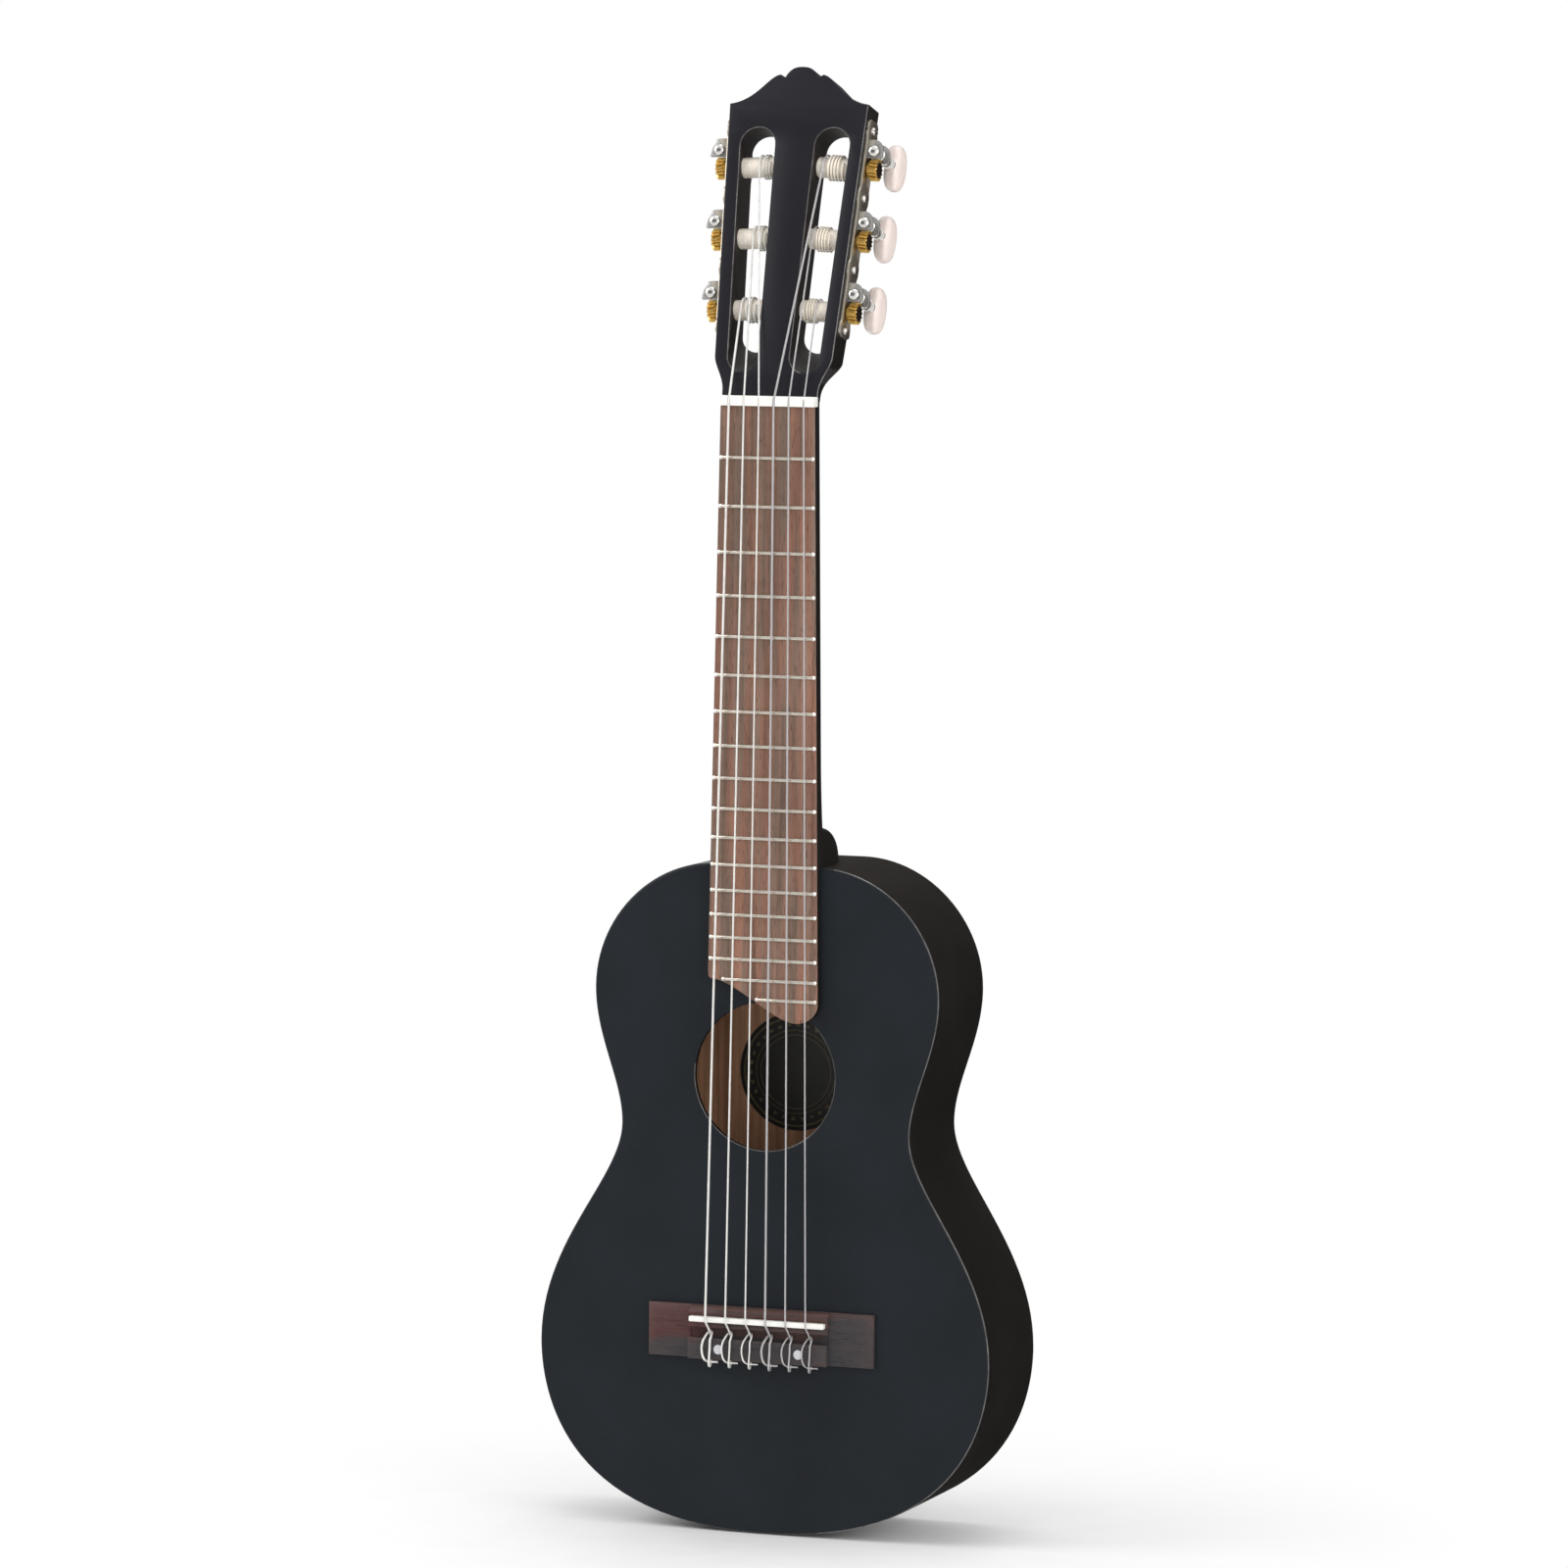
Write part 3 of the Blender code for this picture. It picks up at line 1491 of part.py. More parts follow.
black_finish = make_material("black_finish", (0.016, 0.018, 0.022), 0.38)
rosewood = make_material("rosewood", (0.16, 0.085, 0.055), 0.55)
dark_rosewood = make_material("dark_rosewood", (0.075, 0.045, 0.04), 0.5)
ivory = make_material("ivory_plastic", (0.86, 0.84, 0.78), 0.35)
inner_wood = make_material("inner_wood", (0.45, 0.30, 0.17), 0.7)
label_paper = make_material("label_paper", (0.02, 0.02, 0.02), 0.6)
nickel = make_material("nickel", (0.62, 0.60, 0.57), 0.25, 1.0)
brass = make_material("brass", (0.72, 0.52, 0.20), 0.3, 1.0)
roller_plastic = make_material("roller_plastic", (0.80, 0.74, 0.64), 0.4)
button_plastic = make_material("button_plastic", (0.85, 0.74, 0.70), 0.3)
pearl = make_material("pearl", (0.8, 0.8, 0.82), 0.25)
bass_string = make_material("bass_string", (0.78, 0.76, 0.74), 0.3, 1.0)
treble_string = make_material("treble_string", (0.62, 0.63, 0.66), 0.25)

make_soundboard()
make_back()
make_sides()
make_blocks()
make_linings()
make_braces()
make_label()
make_neck()
make_fingerboard()
make_nut()
make_bridge()
make_saddle()
for plate_side in (1, -1):
    make_plate(plate_side)
for string_number in range(1, 7):
    make_string(string_number)
    make_roller(string_number)
    make_winding(string_number)
    make_gear(string_number)
    make_worm(string_number)
    make_button(string_number)
bpy.context.view_layer.update()
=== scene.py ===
"""A small six-string guitar with a slotted head: its visible pieces, finishes and studio."""

import math

import bmesh
import bpy
import numpy as np
from bpy.props import FloatProperty, FloatVectorProperty, PointerProperty
from mathutils import Matrix, Vector
from mathutils.geometry import tessellate_polygon


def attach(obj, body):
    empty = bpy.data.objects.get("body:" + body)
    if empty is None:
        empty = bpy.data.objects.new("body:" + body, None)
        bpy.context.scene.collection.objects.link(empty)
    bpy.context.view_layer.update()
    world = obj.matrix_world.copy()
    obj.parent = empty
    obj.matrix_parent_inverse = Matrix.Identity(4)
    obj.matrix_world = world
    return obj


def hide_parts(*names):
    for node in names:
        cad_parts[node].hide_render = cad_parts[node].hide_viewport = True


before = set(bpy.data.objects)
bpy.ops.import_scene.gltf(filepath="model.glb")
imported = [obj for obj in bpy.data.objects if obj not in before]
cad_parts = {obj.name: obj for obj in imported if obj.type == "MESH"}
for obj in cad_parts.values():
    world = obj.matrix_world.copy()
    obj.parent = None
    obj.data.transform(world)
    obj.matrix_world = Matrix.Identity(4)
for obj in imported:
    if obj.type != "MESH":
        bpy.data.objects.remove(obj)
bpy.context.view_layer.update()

bl_info = {
    "name": "Guitalele",
    "version": (1, 0, 0),
    "blender": (4, 5, 0),
    "location": "3D View > Sidebar > Guitalele",
    "description": "Makes a small six-string guitar with a slotted head and geared tuners",
    "category": "Add Mesh",
}

# Sizes in metres. They are the part's, but for the label's place and radius, the throat, the
# heel's taper and the buttons' thickness and curves. The nut's front face is at height 0, the
# soundboard's face is at depth 0 and the strings stand out towards -Y. Heights on the head run
# up its face.
SCALE = 0.433
FRETS = 18
NUT_WIDTH, JOINT_WIDTH = 0.0473, 0.0537
BOARD_THICK, FRET_RISE, FRET_WIDTH = 0.0042, 0.001, 0.002
NUT_LENGTH = 0.0048
NUT_TOP = BOARD_THICK + FRET_RISE + 0.0011
NUT_CROWN = NUT_LENGTH * 0.55
BODY_TOP = -SCALE / 2
BODY_LENGTH = 0.319
BODY_BOTTOM = BODY_TOP - BODY_LENGTH
DEPTH_TAIL, DEPTH_NECK = 0.069, 0.0658
TOP_THICK, BACK_THICK, SIDE_THICK = 0.0026, 0.0026, 0.0025
HOLE_Z, HOLE_RADIUS = -0.3169, 0.0352
LABEL_PLACE, LABEL_RADIUS = (-0.0075, -0.322), 0.0284
SHAFT_DEPTH_NUT, SHAFT_DEPTH_HEEL = 0.0165, 0.0178
HEEL_LENGTH, HEEL_ROUNDNESS, HEEL_TAPER = 0.0172, 0.56, 0.33
HEEL_SWELL, HEEL_SWELL_DEPTH = 0.034, 0.0065
TILT = math.radians(15.0)
FACE_LIFT = 0.003
HEAD_THICK, HEAD_LENGTH = 0.018, 0.1648
HEAD_FLARE, HEAD_TOP = (0.02953, 0.0245), (0.0348, 0.1466)
SPLAY = math.atan2(HEAD_TOP[0] - HEAD_FLARE[0], HEAD_TOP[1] - HEAD_FLARE[1])
THROAT_START, THROAT_RUN, THROAT_POWER = 0.003, 0.024, 2.3
SLOT_LOW, SLOT_HIGH = (0.0155, 0.0232), (0.0187, 0.1263)
SLOT_LOW_RADIUS, SLOT_HIGH_RADIUS, SLOT_RAMP = 0.0074, 0.0087, 0.0145
STRINGS = range(1, 7)
STRING_WIDTHS = (0.00071, 0.00082, 0.00102, 0.00074, 0.00089, 0.00109)
NUT_PITCH, SADDLE_PITCH = 0.00746, 0.01008
BRIDGE_FRONT = -SCALE + 0.0059
BRIDGE_REAR = BRIDGE_FRONT - 0.0253
TIE_BLOCK_FRONT, TIE_BLOCK_HEIGHT = BRIDGE_REAR + 0.0103, 0.0074
TIE_HOLE_SHIFT, TIE_HOLE_HEIGHT = 0.001, 0.0043
SADDLE_TOP, SADDLE_HALF = 0.0094, 0.0013
ROLLER_LEVELS = (0.0476, 0.0823, 0.1170)
ROLLER_DEPTH = 0.0084
ROLLER_RADIUS = 0.0049
ROLLER_CORE = 0.0022
WINDING_GAP, WINDING_BEND, WINDING_END = 0.0006, 0.0012, 0.0012
WINDING_TURNS = (3.5, 4.5, 4.5, 2.5, 2.5, 2.5)
WINDING_DIRECTIONS = (-1, 1, 1, -1, -1, -1)
WINDING_PLACES = (0.0178, 0.0124, 0.0144, 0.0179, 0.0172, 0.0196)
GEAR_TEETH = 14
GEAR_RADIUS, WORM_RADIUS = 0.0048, 0.0030
TOOTH_RISE = 0.00048
GEAR_PLANE = 0.0049
THREAD_PITCH = 2 * math.pi * GEAR_RADIUS / GEAR_TEETH
THREAD_TURNS = 2.5
WORM_OFFSET = GEAR_RADIUS + WORM_RADIUS
EAR_OFFSET = THREAD_PITCH * (THREAD_TURNS + 1) / 2 + 0.0006
EAR_THICK = 0.0011
STEM_LENGTH = 0.0132
BUTTON_SIZE = (0.0082, 0.0222, 0.0150)
BUTTON_CURVE, BUTTON_SQUARENESS = 2.5, 3.6
SCREW_LEVELS = (0.0390, 0.0683, 0.1030, 0.1356)
PLATE_ENDS, PLATE_THICK = (0.0355, 0.1405), 0.0013

# Sizes of the look alone
KERF_STEP = 0.0055
ROUNDED_ABOVE = math.radians(35.0)
SHARP_DEGREES = 40.0
WIRE_PITCH = 0.00022
WHITE = (1.0, 1.0, 1.0, 1.0)


# Meshes

def edited(mesh, change):
    """Changes a mesh through its editable form."""
    work = bmesh.new()
    work.from_mesh(mesh)
    change(work)
    work.to_mesh(mesh)
    work.free()
    return mesh


def tidy(mesh):
    """Merges doubles and turns the faces outward."""
    def change(work):
        bmesh.ops.remove_doubles(work, verts=work.verts, dist=1e-6)
        bmesh.ops.recalc_face_normals(work, faces=work.faces)
    return edited(mesh, change)


def new_mesh(points, faces):
    mesh = bpy.data.meshes.new("mesh")
    mesh.from_pydata([tuple(p) for p in points], [], faces)
    return mesh


def loft(rings, caps=True):
    """Joins closed rings of equally many points, each to the next."""
    size = len(rings[0])
    points = [p for ring in rings for p in ring]
    faces = []
    for r in range(len(rings) - 1):
        for i in range(size):
            j = (i + 1) % size
            faces.append((r * size + i, r * size + j, (r + 1) * size + j, (r + 1) * size + i))
    if caps:
        faces.append(tuple(reversed(range(size))))
        faces.append(tuple(range((len(rings) - 1) * size, len(rings) * size)))
    return tidy(new_mesh(points, faces))


def revolve(profile, steps):
    """A profile of (radius, height) points turned about Z."""
    points, rows = [], []
    for radius, height in profile:
        if radius < 1e-7:
            rows.append([len(points)] * steps)
            points.append((0, 0, height))
            continue
        rows.append(list(range(len(points), len(points) + steps)))
        for i in range(steps):
            angle = 2 * math.pi * i / steps
            points.append((radius * math.cos(angle), radius * math.sin(angle), height))
    faces = []
    for first, second in zip(rows, rows[1:]):
        for i in range(steps):
            j = (i + 1) % steps
            corners = []
            for index in (first[i], first[j], second[j], second[i]):
                if index not in corners:
                    corners.append(index)
            if len(corners) > 2:
                faces.append(corners)
    return tidy(new_mesh(points, faces))


def plate(outer_rings, hole_rings=()):
    """A solid between its first and last ring, with a rounded rim, and holes right through.

    Every ring is (depth, outline); the outlines of one rim have equal counts."""
    points, faces = [], []
    rims = [outer_rings, *hole_rings]
    starts = []
    for rim in rims:
        size = len(rim[0][1])
        first = len(points)
        starts.append(first)
        for depth, outline in rim:
            points += [(x, depth, z) for x, z in outline]
        for r in range(len(rim) - 1):
            for i in range(size):
                j = (i + 1) % size
                a = first + r * size
                faces.append((a + i, a + j, a + size + j, a + size + i))
    for end in (0, -1):
        loops = [[Vector((x, z, 0)) for x, z in rim[end][1]] for rim in rims]
        index = []
        for rim, first in zip(rims, starts):
            size = len(rim[0][1])
            row = 0 if end == 0 else len(rim) - 1
            index += [first + row * size + i for i in range(size)]
        for triangle in tessellate_polygon(loops):
            faces.append(tuple(index[i] for i in triangle))
    return tidy(new_mesh(points, faces))


def sweep(points, radius, sides):
    """A round tube along the points, with UVs: U along it in metres, V round it."""
    path = [Vector(p) for p in points]
    tangents = []
    for i in range(len(path)):
        before = path[max(i - 1, 0)]
        after = path[min(i + 1, len(path) - 1)]
        tangents.append((after - before).normalized())
    across = tangents[0].orthogonal().normalized()
    verts, travelled = [], [0.0]
    for i, place in enumerate(path):
        if i:
            turn = tangents[i - 1].rotation_difference(tangents[i])
            across = (turn @ across).normalized()
            travelled.append(travelled[-1] + (place - path[i - 1]).length)
        other = tangents[i].cross(across)
        for k in range(sides):
            angle = 2 * math.pi * k / sides
            verts.append(place + radius * (across * math.cos(angle) + other * math.sin(angle)))
    faces, uvs = [], []
    for i in range(len(path) - 1):
        for k in range(sides):
            j = (k + 1) % sides
            faces.append((i * sides + k, i * sides + j, (i + 1) * sides + j, (i + 1) * sides + k))
            low, high = travelled[i], travelled[i + 1]
            uvs += [(low, k / sides), (low, (k + 1) / sides),
                    (high, (k + 1) / sides), (high, k / sides)]
    last = (len(path) - 1) * sides
    faces.append(tuple(reversed(range(sides))))
    uvs += [(0.0, 0.0)] * sides
    faces.append(tuple(range(last, last + sides)))
    uvs += [(travelled[-1], 0.0)] * sides
    mesh = new_mesh(verts, faces)
    layer = mesh.uv_layers.new(name="length")
    for entry, uv in zip(layer.data, uvs):
        entry.uv = uv
    return mesh


def smooth_route(points):
    """A smooth curve through every point; a long stretch stays one straight piece."""
    steps, long_stretch = 6, 0.05
    path = [Vector(p) for p in points]
    fine = []
    for i in range(len(path) - 1):
        a, b = path[i], path[i + 1]
        before = path[i - 1] if i else a + (a - b)
        after = path[i + 2] if i + 2 < len(path) else b + (b - a)
        length = (b - a).length
        first = (b - before).normalized() * min(length, (a - before).length) * 0.5
        second = (after - a).normalized() * min(length, (after - b).length) * 0.5
        count = 1 if length > long_stretch else steps
        for k in range(count):
            t = k / count
            fine.append(a * (2 * t ** 3 - 3 * t * t + 1) + b * (3 * t * t - 2 * t ** 3)
                        + first * 2 * (t ** 3 - 2 * t * t + t) + second * 2 * (t ** 3 - t * t))
    fine.append(path[-1])
    return fine


def moved(mesh, matrix):
    """The mesh in its place; a mirroring place also turns its faces back out."""
    mesh.transform(matrix)
    if matrix.determinant() < 0:
        mesh.flip_normals()
    return mesh


def new_object(name, data):
    item = bpy.data.objects.new(name, data)
    bpy.context.scene.collection.objects.link(item)
    return item


def evaluated(mesh, setup):
    """Runs modifiers on a mesh: setup receives the helper object."""
    helper = new_object("helper", mesh)
    extra = setup(helper) or []
    bpy.context.view_layer.update()
    graph = bpy.context.evaluated_depsgraph_get()
    result = bpy.data.meshes.new_from_object(helper.evaluated_get(graph))
    for item in [helper, *extra]:
        bpy.data.objects.remove(item)
    return result


def boolean(mesh, others, operation="DIFFERENCE"):
    def setup(helper):
        extra = []
        for other in others:
            cutter = new_object("cutter", other)
            modifier = helper.modifiers.new("cut", "BOOLEAN")
            modifier.operation = operation
            modifier.solver = "EXACT"
            modifier.object = cutter
            extra.append(cutter)
        return extra
    return evaluated(mesh, setup)


def rounded(mesh, width, segments=2):
    """Rounds the sharp edges of a mesh."""
    def setup(helper):
        modifier = helper.modifiers.new("round", "BEVEL")
        modifier.width = width
        modifier.segments = segments
        modifier.limit_method = "ANGLE"
        modifier.angle_limit = ROUNDED_ABOVE
        modifier.miter_outer = "MITER_ARC"
    return evaluated(mesh, setup)


def block(low, high):
    """A box between two corners."""
    middle = [(a + b) / 2 for a, b in zip(low, high)]
    size = [b - a for a, b in zip(low, high)]
    place = Matrix.Translation(middle) @ Matrix.Diagonal((*size, 1))
    return edited(bpy.data.meshes.new("block"),
                  lambda work: bmesh.ops.create_cube(work, size=1, matrix=place))


def sheet(name, place):
    """A flat square of 1 m in its place."""
    return edited(bpy.data.meshes.new(name), lambda work: bmesh.ops.create_grid(
        work, x_segments=1, y_segments=1, size=0.5, matrix=place))


def hull(points):
    """The convex solid around some points."""
    def change(work):
        for point in points:
            work.verts.new(point)
        bmesh.ops.convex_hull(work, input=work.verts)
        bmesh.ops.dissolve_limit(work, angle_limit=math.radians(1.0),
                                 verts=work.verts, edges=work.edges)
    return edited(bpy.data.meshes.new("hull"), change)


def add_piece(name, mesh, material, body, stands_for=(), angle=SHARP_DEGREES):
    """Puts a finished mesh on its body, in place of the nodes that it stands for."""
    item = new_object(name, mesh)
    mesh.materials.clear()
    mesh.materials.append(material)
    mesh.shade_smooth()
    mesh.set_sharp_from_angle(angle=math.radians(angle))
    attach(item, body)
    if stands_for:
        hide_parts(*stands_for)
    return item


def second_finish(item, material, wanted):
    """Gives a second finish to the faces for which wanted(centre, normal) is true."""
    item.data.materials.append(material)
    index = len(item.data.materials) - 1
    for face in item.data.polygons:
        if wanted(face.center, face.normal):
            face.material_index = index
    return item


# Node trees

def add_node(tree, kind, inputs=None, **settings):
    """A new node; an input is linked where its value is a socket, and set where it isn't."""
    node = tree.nodes.new(kind)
    for key, value in settings.items():
        setattr(node, key, value)
    for key, value in (inputs or {}).items():
        if isinstance(value, bpy.types.NodeSocket):
            tree.links.new(value, node.inputs[key])
        else:
            node.inputs[key].default_value = value
    return node


def spread_tree():
    """One template on each point, turned and stretched by the point's own values."""
    tree = bpy.data.node_groups.get("spread on points")
    if tree:
        return tree
    tree = bpy.data.node_groups.new("spread on points", "GeometryNodeTree")
    for name, way, kind in (("Points", "INPUT", "Geometry"), ("Template", "INPUT", "Object"),
                            ("Finish", "INPUT", "Material"), ("Pieces", "OUTPUT", "Geometry")):
        tree.interface.new_socket(name, in_out=way, socket_type=f"NodeSocket{kind}")
    source = add_node(tree, "NodeGroupInput").outputs
    template = add_node(tree, "GeometryNodeObjectInfo", {"Object": source["Template"]})
    turn, stretch = (add_node(tree, "GeometryNodeInputNamedAttribute", {"Name": name},
                              data_type="FLOAT_VECTOR").outputs["Attribute"]
                     for name in ("turn", "stretch"))
    rotation = add_node(tree, "FunctionNodeEulerToRotation", {"Euler": turn})
    place = add_node(tree, "GeometryNodeInstanceOnPoints", {
        "Points": source["Points"], "Instance": template.outputs["Geometry"],
        "Rotation": rotation.outputs["Rotation"], "Scale": stretch})
    real = add_node(tree, "GeometryNodeRealizeInstances",
                    {"Geometry": place.outputs["Instances"]})
    paint = add_node(tree, "GeometryNodeSetMaterial", {
        "Geometry": real.outputs["Geometry"], "Material": source["Finish"]})
    add_node(tree, "NodeGroupOutput", {"Pieces": paint.outputs["Geometry"]})
    return tree


def spread(template_mesh, places, material):
    """A mesh with the template at every place, turned and stretched as the place says."""
    tree = spread_tree()
    points = new_mesh([place.translation for place in places], [])
    for name, values in (("turn", [place.to_euler() for place in places]),
                         ("stretch", [place.to_scale() for place in places])):
        attribute = points.attributes.new(name, "FLOAT_VECTOR", "POINT")
        attribute.data.foreach_set("vector", np.array(values, np.float32).ravel())
    template_mesh.shade_smooth()
    template_mesh.set_sharp_from_angle(angle=math.radians(SHARP_DEGREES))
    template = new_object("template", template_mesh)

    def setup(helper):
        modifier = helper.modifiers.new("spread", "NODES")
        modifier.node_group = tree
        wanted = {"Template": template, "Finish": material}
        for item in tree.interface.items_tree:
            if item.in_out == "INPUT" and item.name in wanted:
                modifier[item.identifier] = wanted[item.name]
        return [template]
    return evaluated(points, setup)


# Finishes

def shade(color, *factors):
    """A colour times one factor, or times one for each of its parts, kept under 1."""
    factors = factors * 3 if len(factors) == 1 else factors
    return tuple(min(1.0, c * f) for c, f in zip(color, factors))


class Finish:
    """A material under construction: nodes are added and wired by short calls."""

    def __init__(self, name, color, roughness, metallic=0.0):
        self.material = bpy.data.materials.new(name)
        self.material.use_nodes = True
        self.tree = self.material.node_tree
        self.shader = self.tree.nodes["Principled BSDF"]
        self.set("Base Color", (*color, 1.0))
        self.set("Roughness", roughness)
        self.set("Metallic", metallic)
        self.place = self.add("ShaderNodeTexCoord").outputs["Object"]
        self.normal = None

    def set(self, socket, value):
        self.shader.inputs[socket].default_value = value

    def add(self, kind, inputs=None, **settings):
        return add_node(self.tree, kind, inputs, **settings)

    def wire(self, output, socket="Base Color"):
        self.tree.links.new(output, self.shader.inputs[socket])

    def stretched(self, scale, location=(0, 0, 0)):
        mapping = self.add("ShaderNodeMapping", {"Vector": self.place, "Scale": scale,
                                                 "Location": location})
        return mapping.outputs["Vector"]

    def noise(self, scale, detail, roughness=0.5, vector=None, distortion=0.0):
        node = self.add("ShaderNodeTexNoise", {
            "Vector": vector or self.place, "Scale": scale, "Detail": detail,
            "Roughness": roughness, "Distortion": distortion})
        return node.outputs["Fac"]

    def ramp(self, value, stops, interpolation="LINEAR"):
        node = self.add("ShaderNodeValToRGB", {"Fac": value})
        ramp = node.color_ramp
        ramp.interpolation = interpolation
        while len(ramp.elements) < len(stops):
            ramp.elements.new(0.5)
        for element, (position, color) in zip(ramp.elements, stops):
            element.position = position
            color = (color,) * 3 if isinstance(color, (int, float)) else color
            element.color = (*color, 1.0)
        return node.outputs["Color"]

    def math(self, operation, first, second=0.0):
        return self.add("ShaderNodeMath", {0: first, 1: second}, operation=operation).outputs[0]

    def average(self, first, second, share=0.5):
        """The first value's share of a mean of both."""
        return self.math("ADD", self.math("MULTIPLY", first, share),
                         self.math("MULTIPLY", second, 1 - share))

    def vector(self, operation, first, second):
        return self.add("ShaderNodeVectorMath", {0: first, 1: second},
                        operation=operation).outputs["Vector"]

    def length(self, vector):
        return self.add("ShaderNodeVectorMath", {0: vector}, operation="LENGTH").outputs["Value"]

    def mix(self, share, first, second, blend="MIX"):
        first, second = ((*value, 1.0) if isinstance(value, (tuple, list)) else value
                         for value in (first, second))
        return self.add("ShaderNodeMix", {0: share, 6: first, 7: second}, data_type="RGBA",
                        blend_type=blend).outputs[2]

    def vary_roughness(self, value, low, high):
        node = self.add("ShaderNodeMapRange", {"Value": value, "To Min": low, "To Max": high})
        self.wire(node.outputs["Result"], "Roughness")

    def bump(self, height, distance, strength):
        """Adds relief on top of the relief that is there."""
        inputs = {"Height": height, "Distance": distance, "Strength": strength}
        if self.normal is not None:
            inputs["Normal"] = self.normal
        self.normal = self.add("ShaderNodeBump", inputs).outputs["Normal"]
        self.wire(self.normal, "Normal")

    def worn_edges(self, color, lighter_edge, amount):
        """Mixes a worn colour in where the surface turns sharply outward."""
        bend = self.add("ShaderNodeNewGeometry").outputs["Pointiness"]
        edge = self.ramp(bend, ((0.52, 0.0), (0.60, amount)))
        return self.mix(edge, color, lighter_edge)


def satin_lacquer(name, color, roughness, shine=0.16, grain=1.0):
    """Thin black lacquer over wood, with the wood's pores just showing through."""
    finish = Finish(name, color, roughness)
    cloud = finish.noise(22.0, 3.0)
    pores = finish.noise(1.0, 4.0, 0.6, finish.stretched((1500, 1500, 90)))
    peel = finish.noise(900.0, 2.0)
    finish.wire(finish.ramp(cloud, ((0.3, shade(color, 0.85)), (0.7, shade(color, 1.2)))))
    finish.vary_roughness(finish.average(cloud, pores, 0.6), roughness - 0.06, roughness + 0.07)
    finish.bump(finish.ramp(pores, ((0.36, 0.0), (0.5, 1.0))), 0.00003, 0.45 * grain)
    finish.bump(peel, 0.00002, 0.3 * grain)
    finish.set("Specular IOR Level", shine)
    return finish.material


def edge_highlight_lacquer(name, color):
    """Painted highlight for lit edges: lighter, shinier lacquer with light and dark specks."""
    finish = Finish(name, color, 0.24)
    highlight_speckle = finish.noise(130.0, 4.0, 0.65)
    fine = finish.noise(1300.0, 2.0)
    finish.wire(finish.ramp(highlight_speckle, ((0.34, shade(color, 0.25)), (0.60, color),
                                  (0.80, shade(color, 1.9)))))
    finish.vary_roughness(fine, 0.18, 0.34)
    finish.set("Specular IOR Level", 0.7)
    return finish.material


def open_grain_wood(name, dark, middle, light, roughness, streaks=1.0, across=False,
                    patches=()):
    """Oiled wood: long streaks, fine fibres and short dark pores along the grain.

    Each patch is (centre, size, colour, amount): a soft area of another tone."""
    def along(wide, long, shift=(0, 0, 0)):
        scale = (long, wide, wide) if across else (wide, wide, long)
        return finish.stretched(scale, shift)

    finish = Finish(name, middle, roughness)
    warp = finish.noise(9.0, 2.0)
    bands = finish.noise(1.0, 6.0, 0.62, along(230 * streaks, 6.5), 0.35)
    fibre = finish.noise(1.0, 5.0, 0.7, along(1400, 42))
    pores = finish.noise(1.0, 2.0, 0.5, along(2600, 150, (3, 1, 7)))
    tone = finish.ramp(bands, ((0.30, dark), (0.48, middle), (0.70, light)))
    tint = finish.noise(1.0, 3.0, 0.5, along(190 * streaks, 7.0, (5, 2, 9)), 0.6)
    tone = finish.mix(1.0, tone, finish.ramp(tint, ((0.38, (1.22, 0.90, 0.80)),
                                                    (0.60, (0.84, 0.98, 1.04)))), "MULTIPLY")
    tone = finish.mix(finish.ramp(fibre, ((0.30, 0.0), (0.75, 0.45))), tone, light)
    tone = finish.mix(finish.ramp(warp, ((0.35, 0.0), (0.75, 0.40))), tone, dark)
    for centre, size, color, amount in patches:
        offset = finish.vector("SUBTRACT", finish.place, centre)
        reach = finish.length(finish.vector("DIVIDE", offset, size))
        ragged = finish.math("MULTIPLY", finish.math("SUBTRACT", bands, 0.5), 1.2)
        reach = finish.math("ADD", reach, ragged)
        tone = finish.mix(finish.ramp(reach, ((0.75, amount), (1.0, 0.0))), tone, color)
    tone = finish.mix(finish.ramp(pores, ((0.60, 0.0), (0.68, 0.75))), tone,
                      shade(dark, 0.35))
    finish.wire(finish.worn_edges(tone, light, 0.35))
    finish.vary_roughness(fibre, roughness - 0.10, roughness + 0.12)
    finish.bump(fibre, 0.00004, 0.6)
    finish.bump(finish.ramp(pores, ((0.58, 1.0), (0.70, 0.0))), 0.00006, 0.7)
    finish.set("Specular IOR Level", 0.18)
    return finish.material


def plated_metal(name, color, roughness, scratch_scale, edge=0.3):
    """Plated metal with fine polishing marks, brighter edges and dull patches."""
    finish = Finish(name, color, roughness, 1.0)
    marks = finish.noise(1.0, 3.0, 0.6, finish.stretched(scratch_scale))
    patches = finish.noise(260.0, 3.0)
    tone = finish.mix(finish.ramp(patches, ((0.42, 0.0), (0.72, 0.7))), color,
                      shade(color, 0.72))
    finish.wire(finish.worn_edges(tone, shade(color, 1.25), edge))
    finish.vary_roughness(finish.average(marks, patches), roughness - 0.07, roughness + 0.14)
    finish.bump(marks, 0.00001, 0.5)
    return finish.material


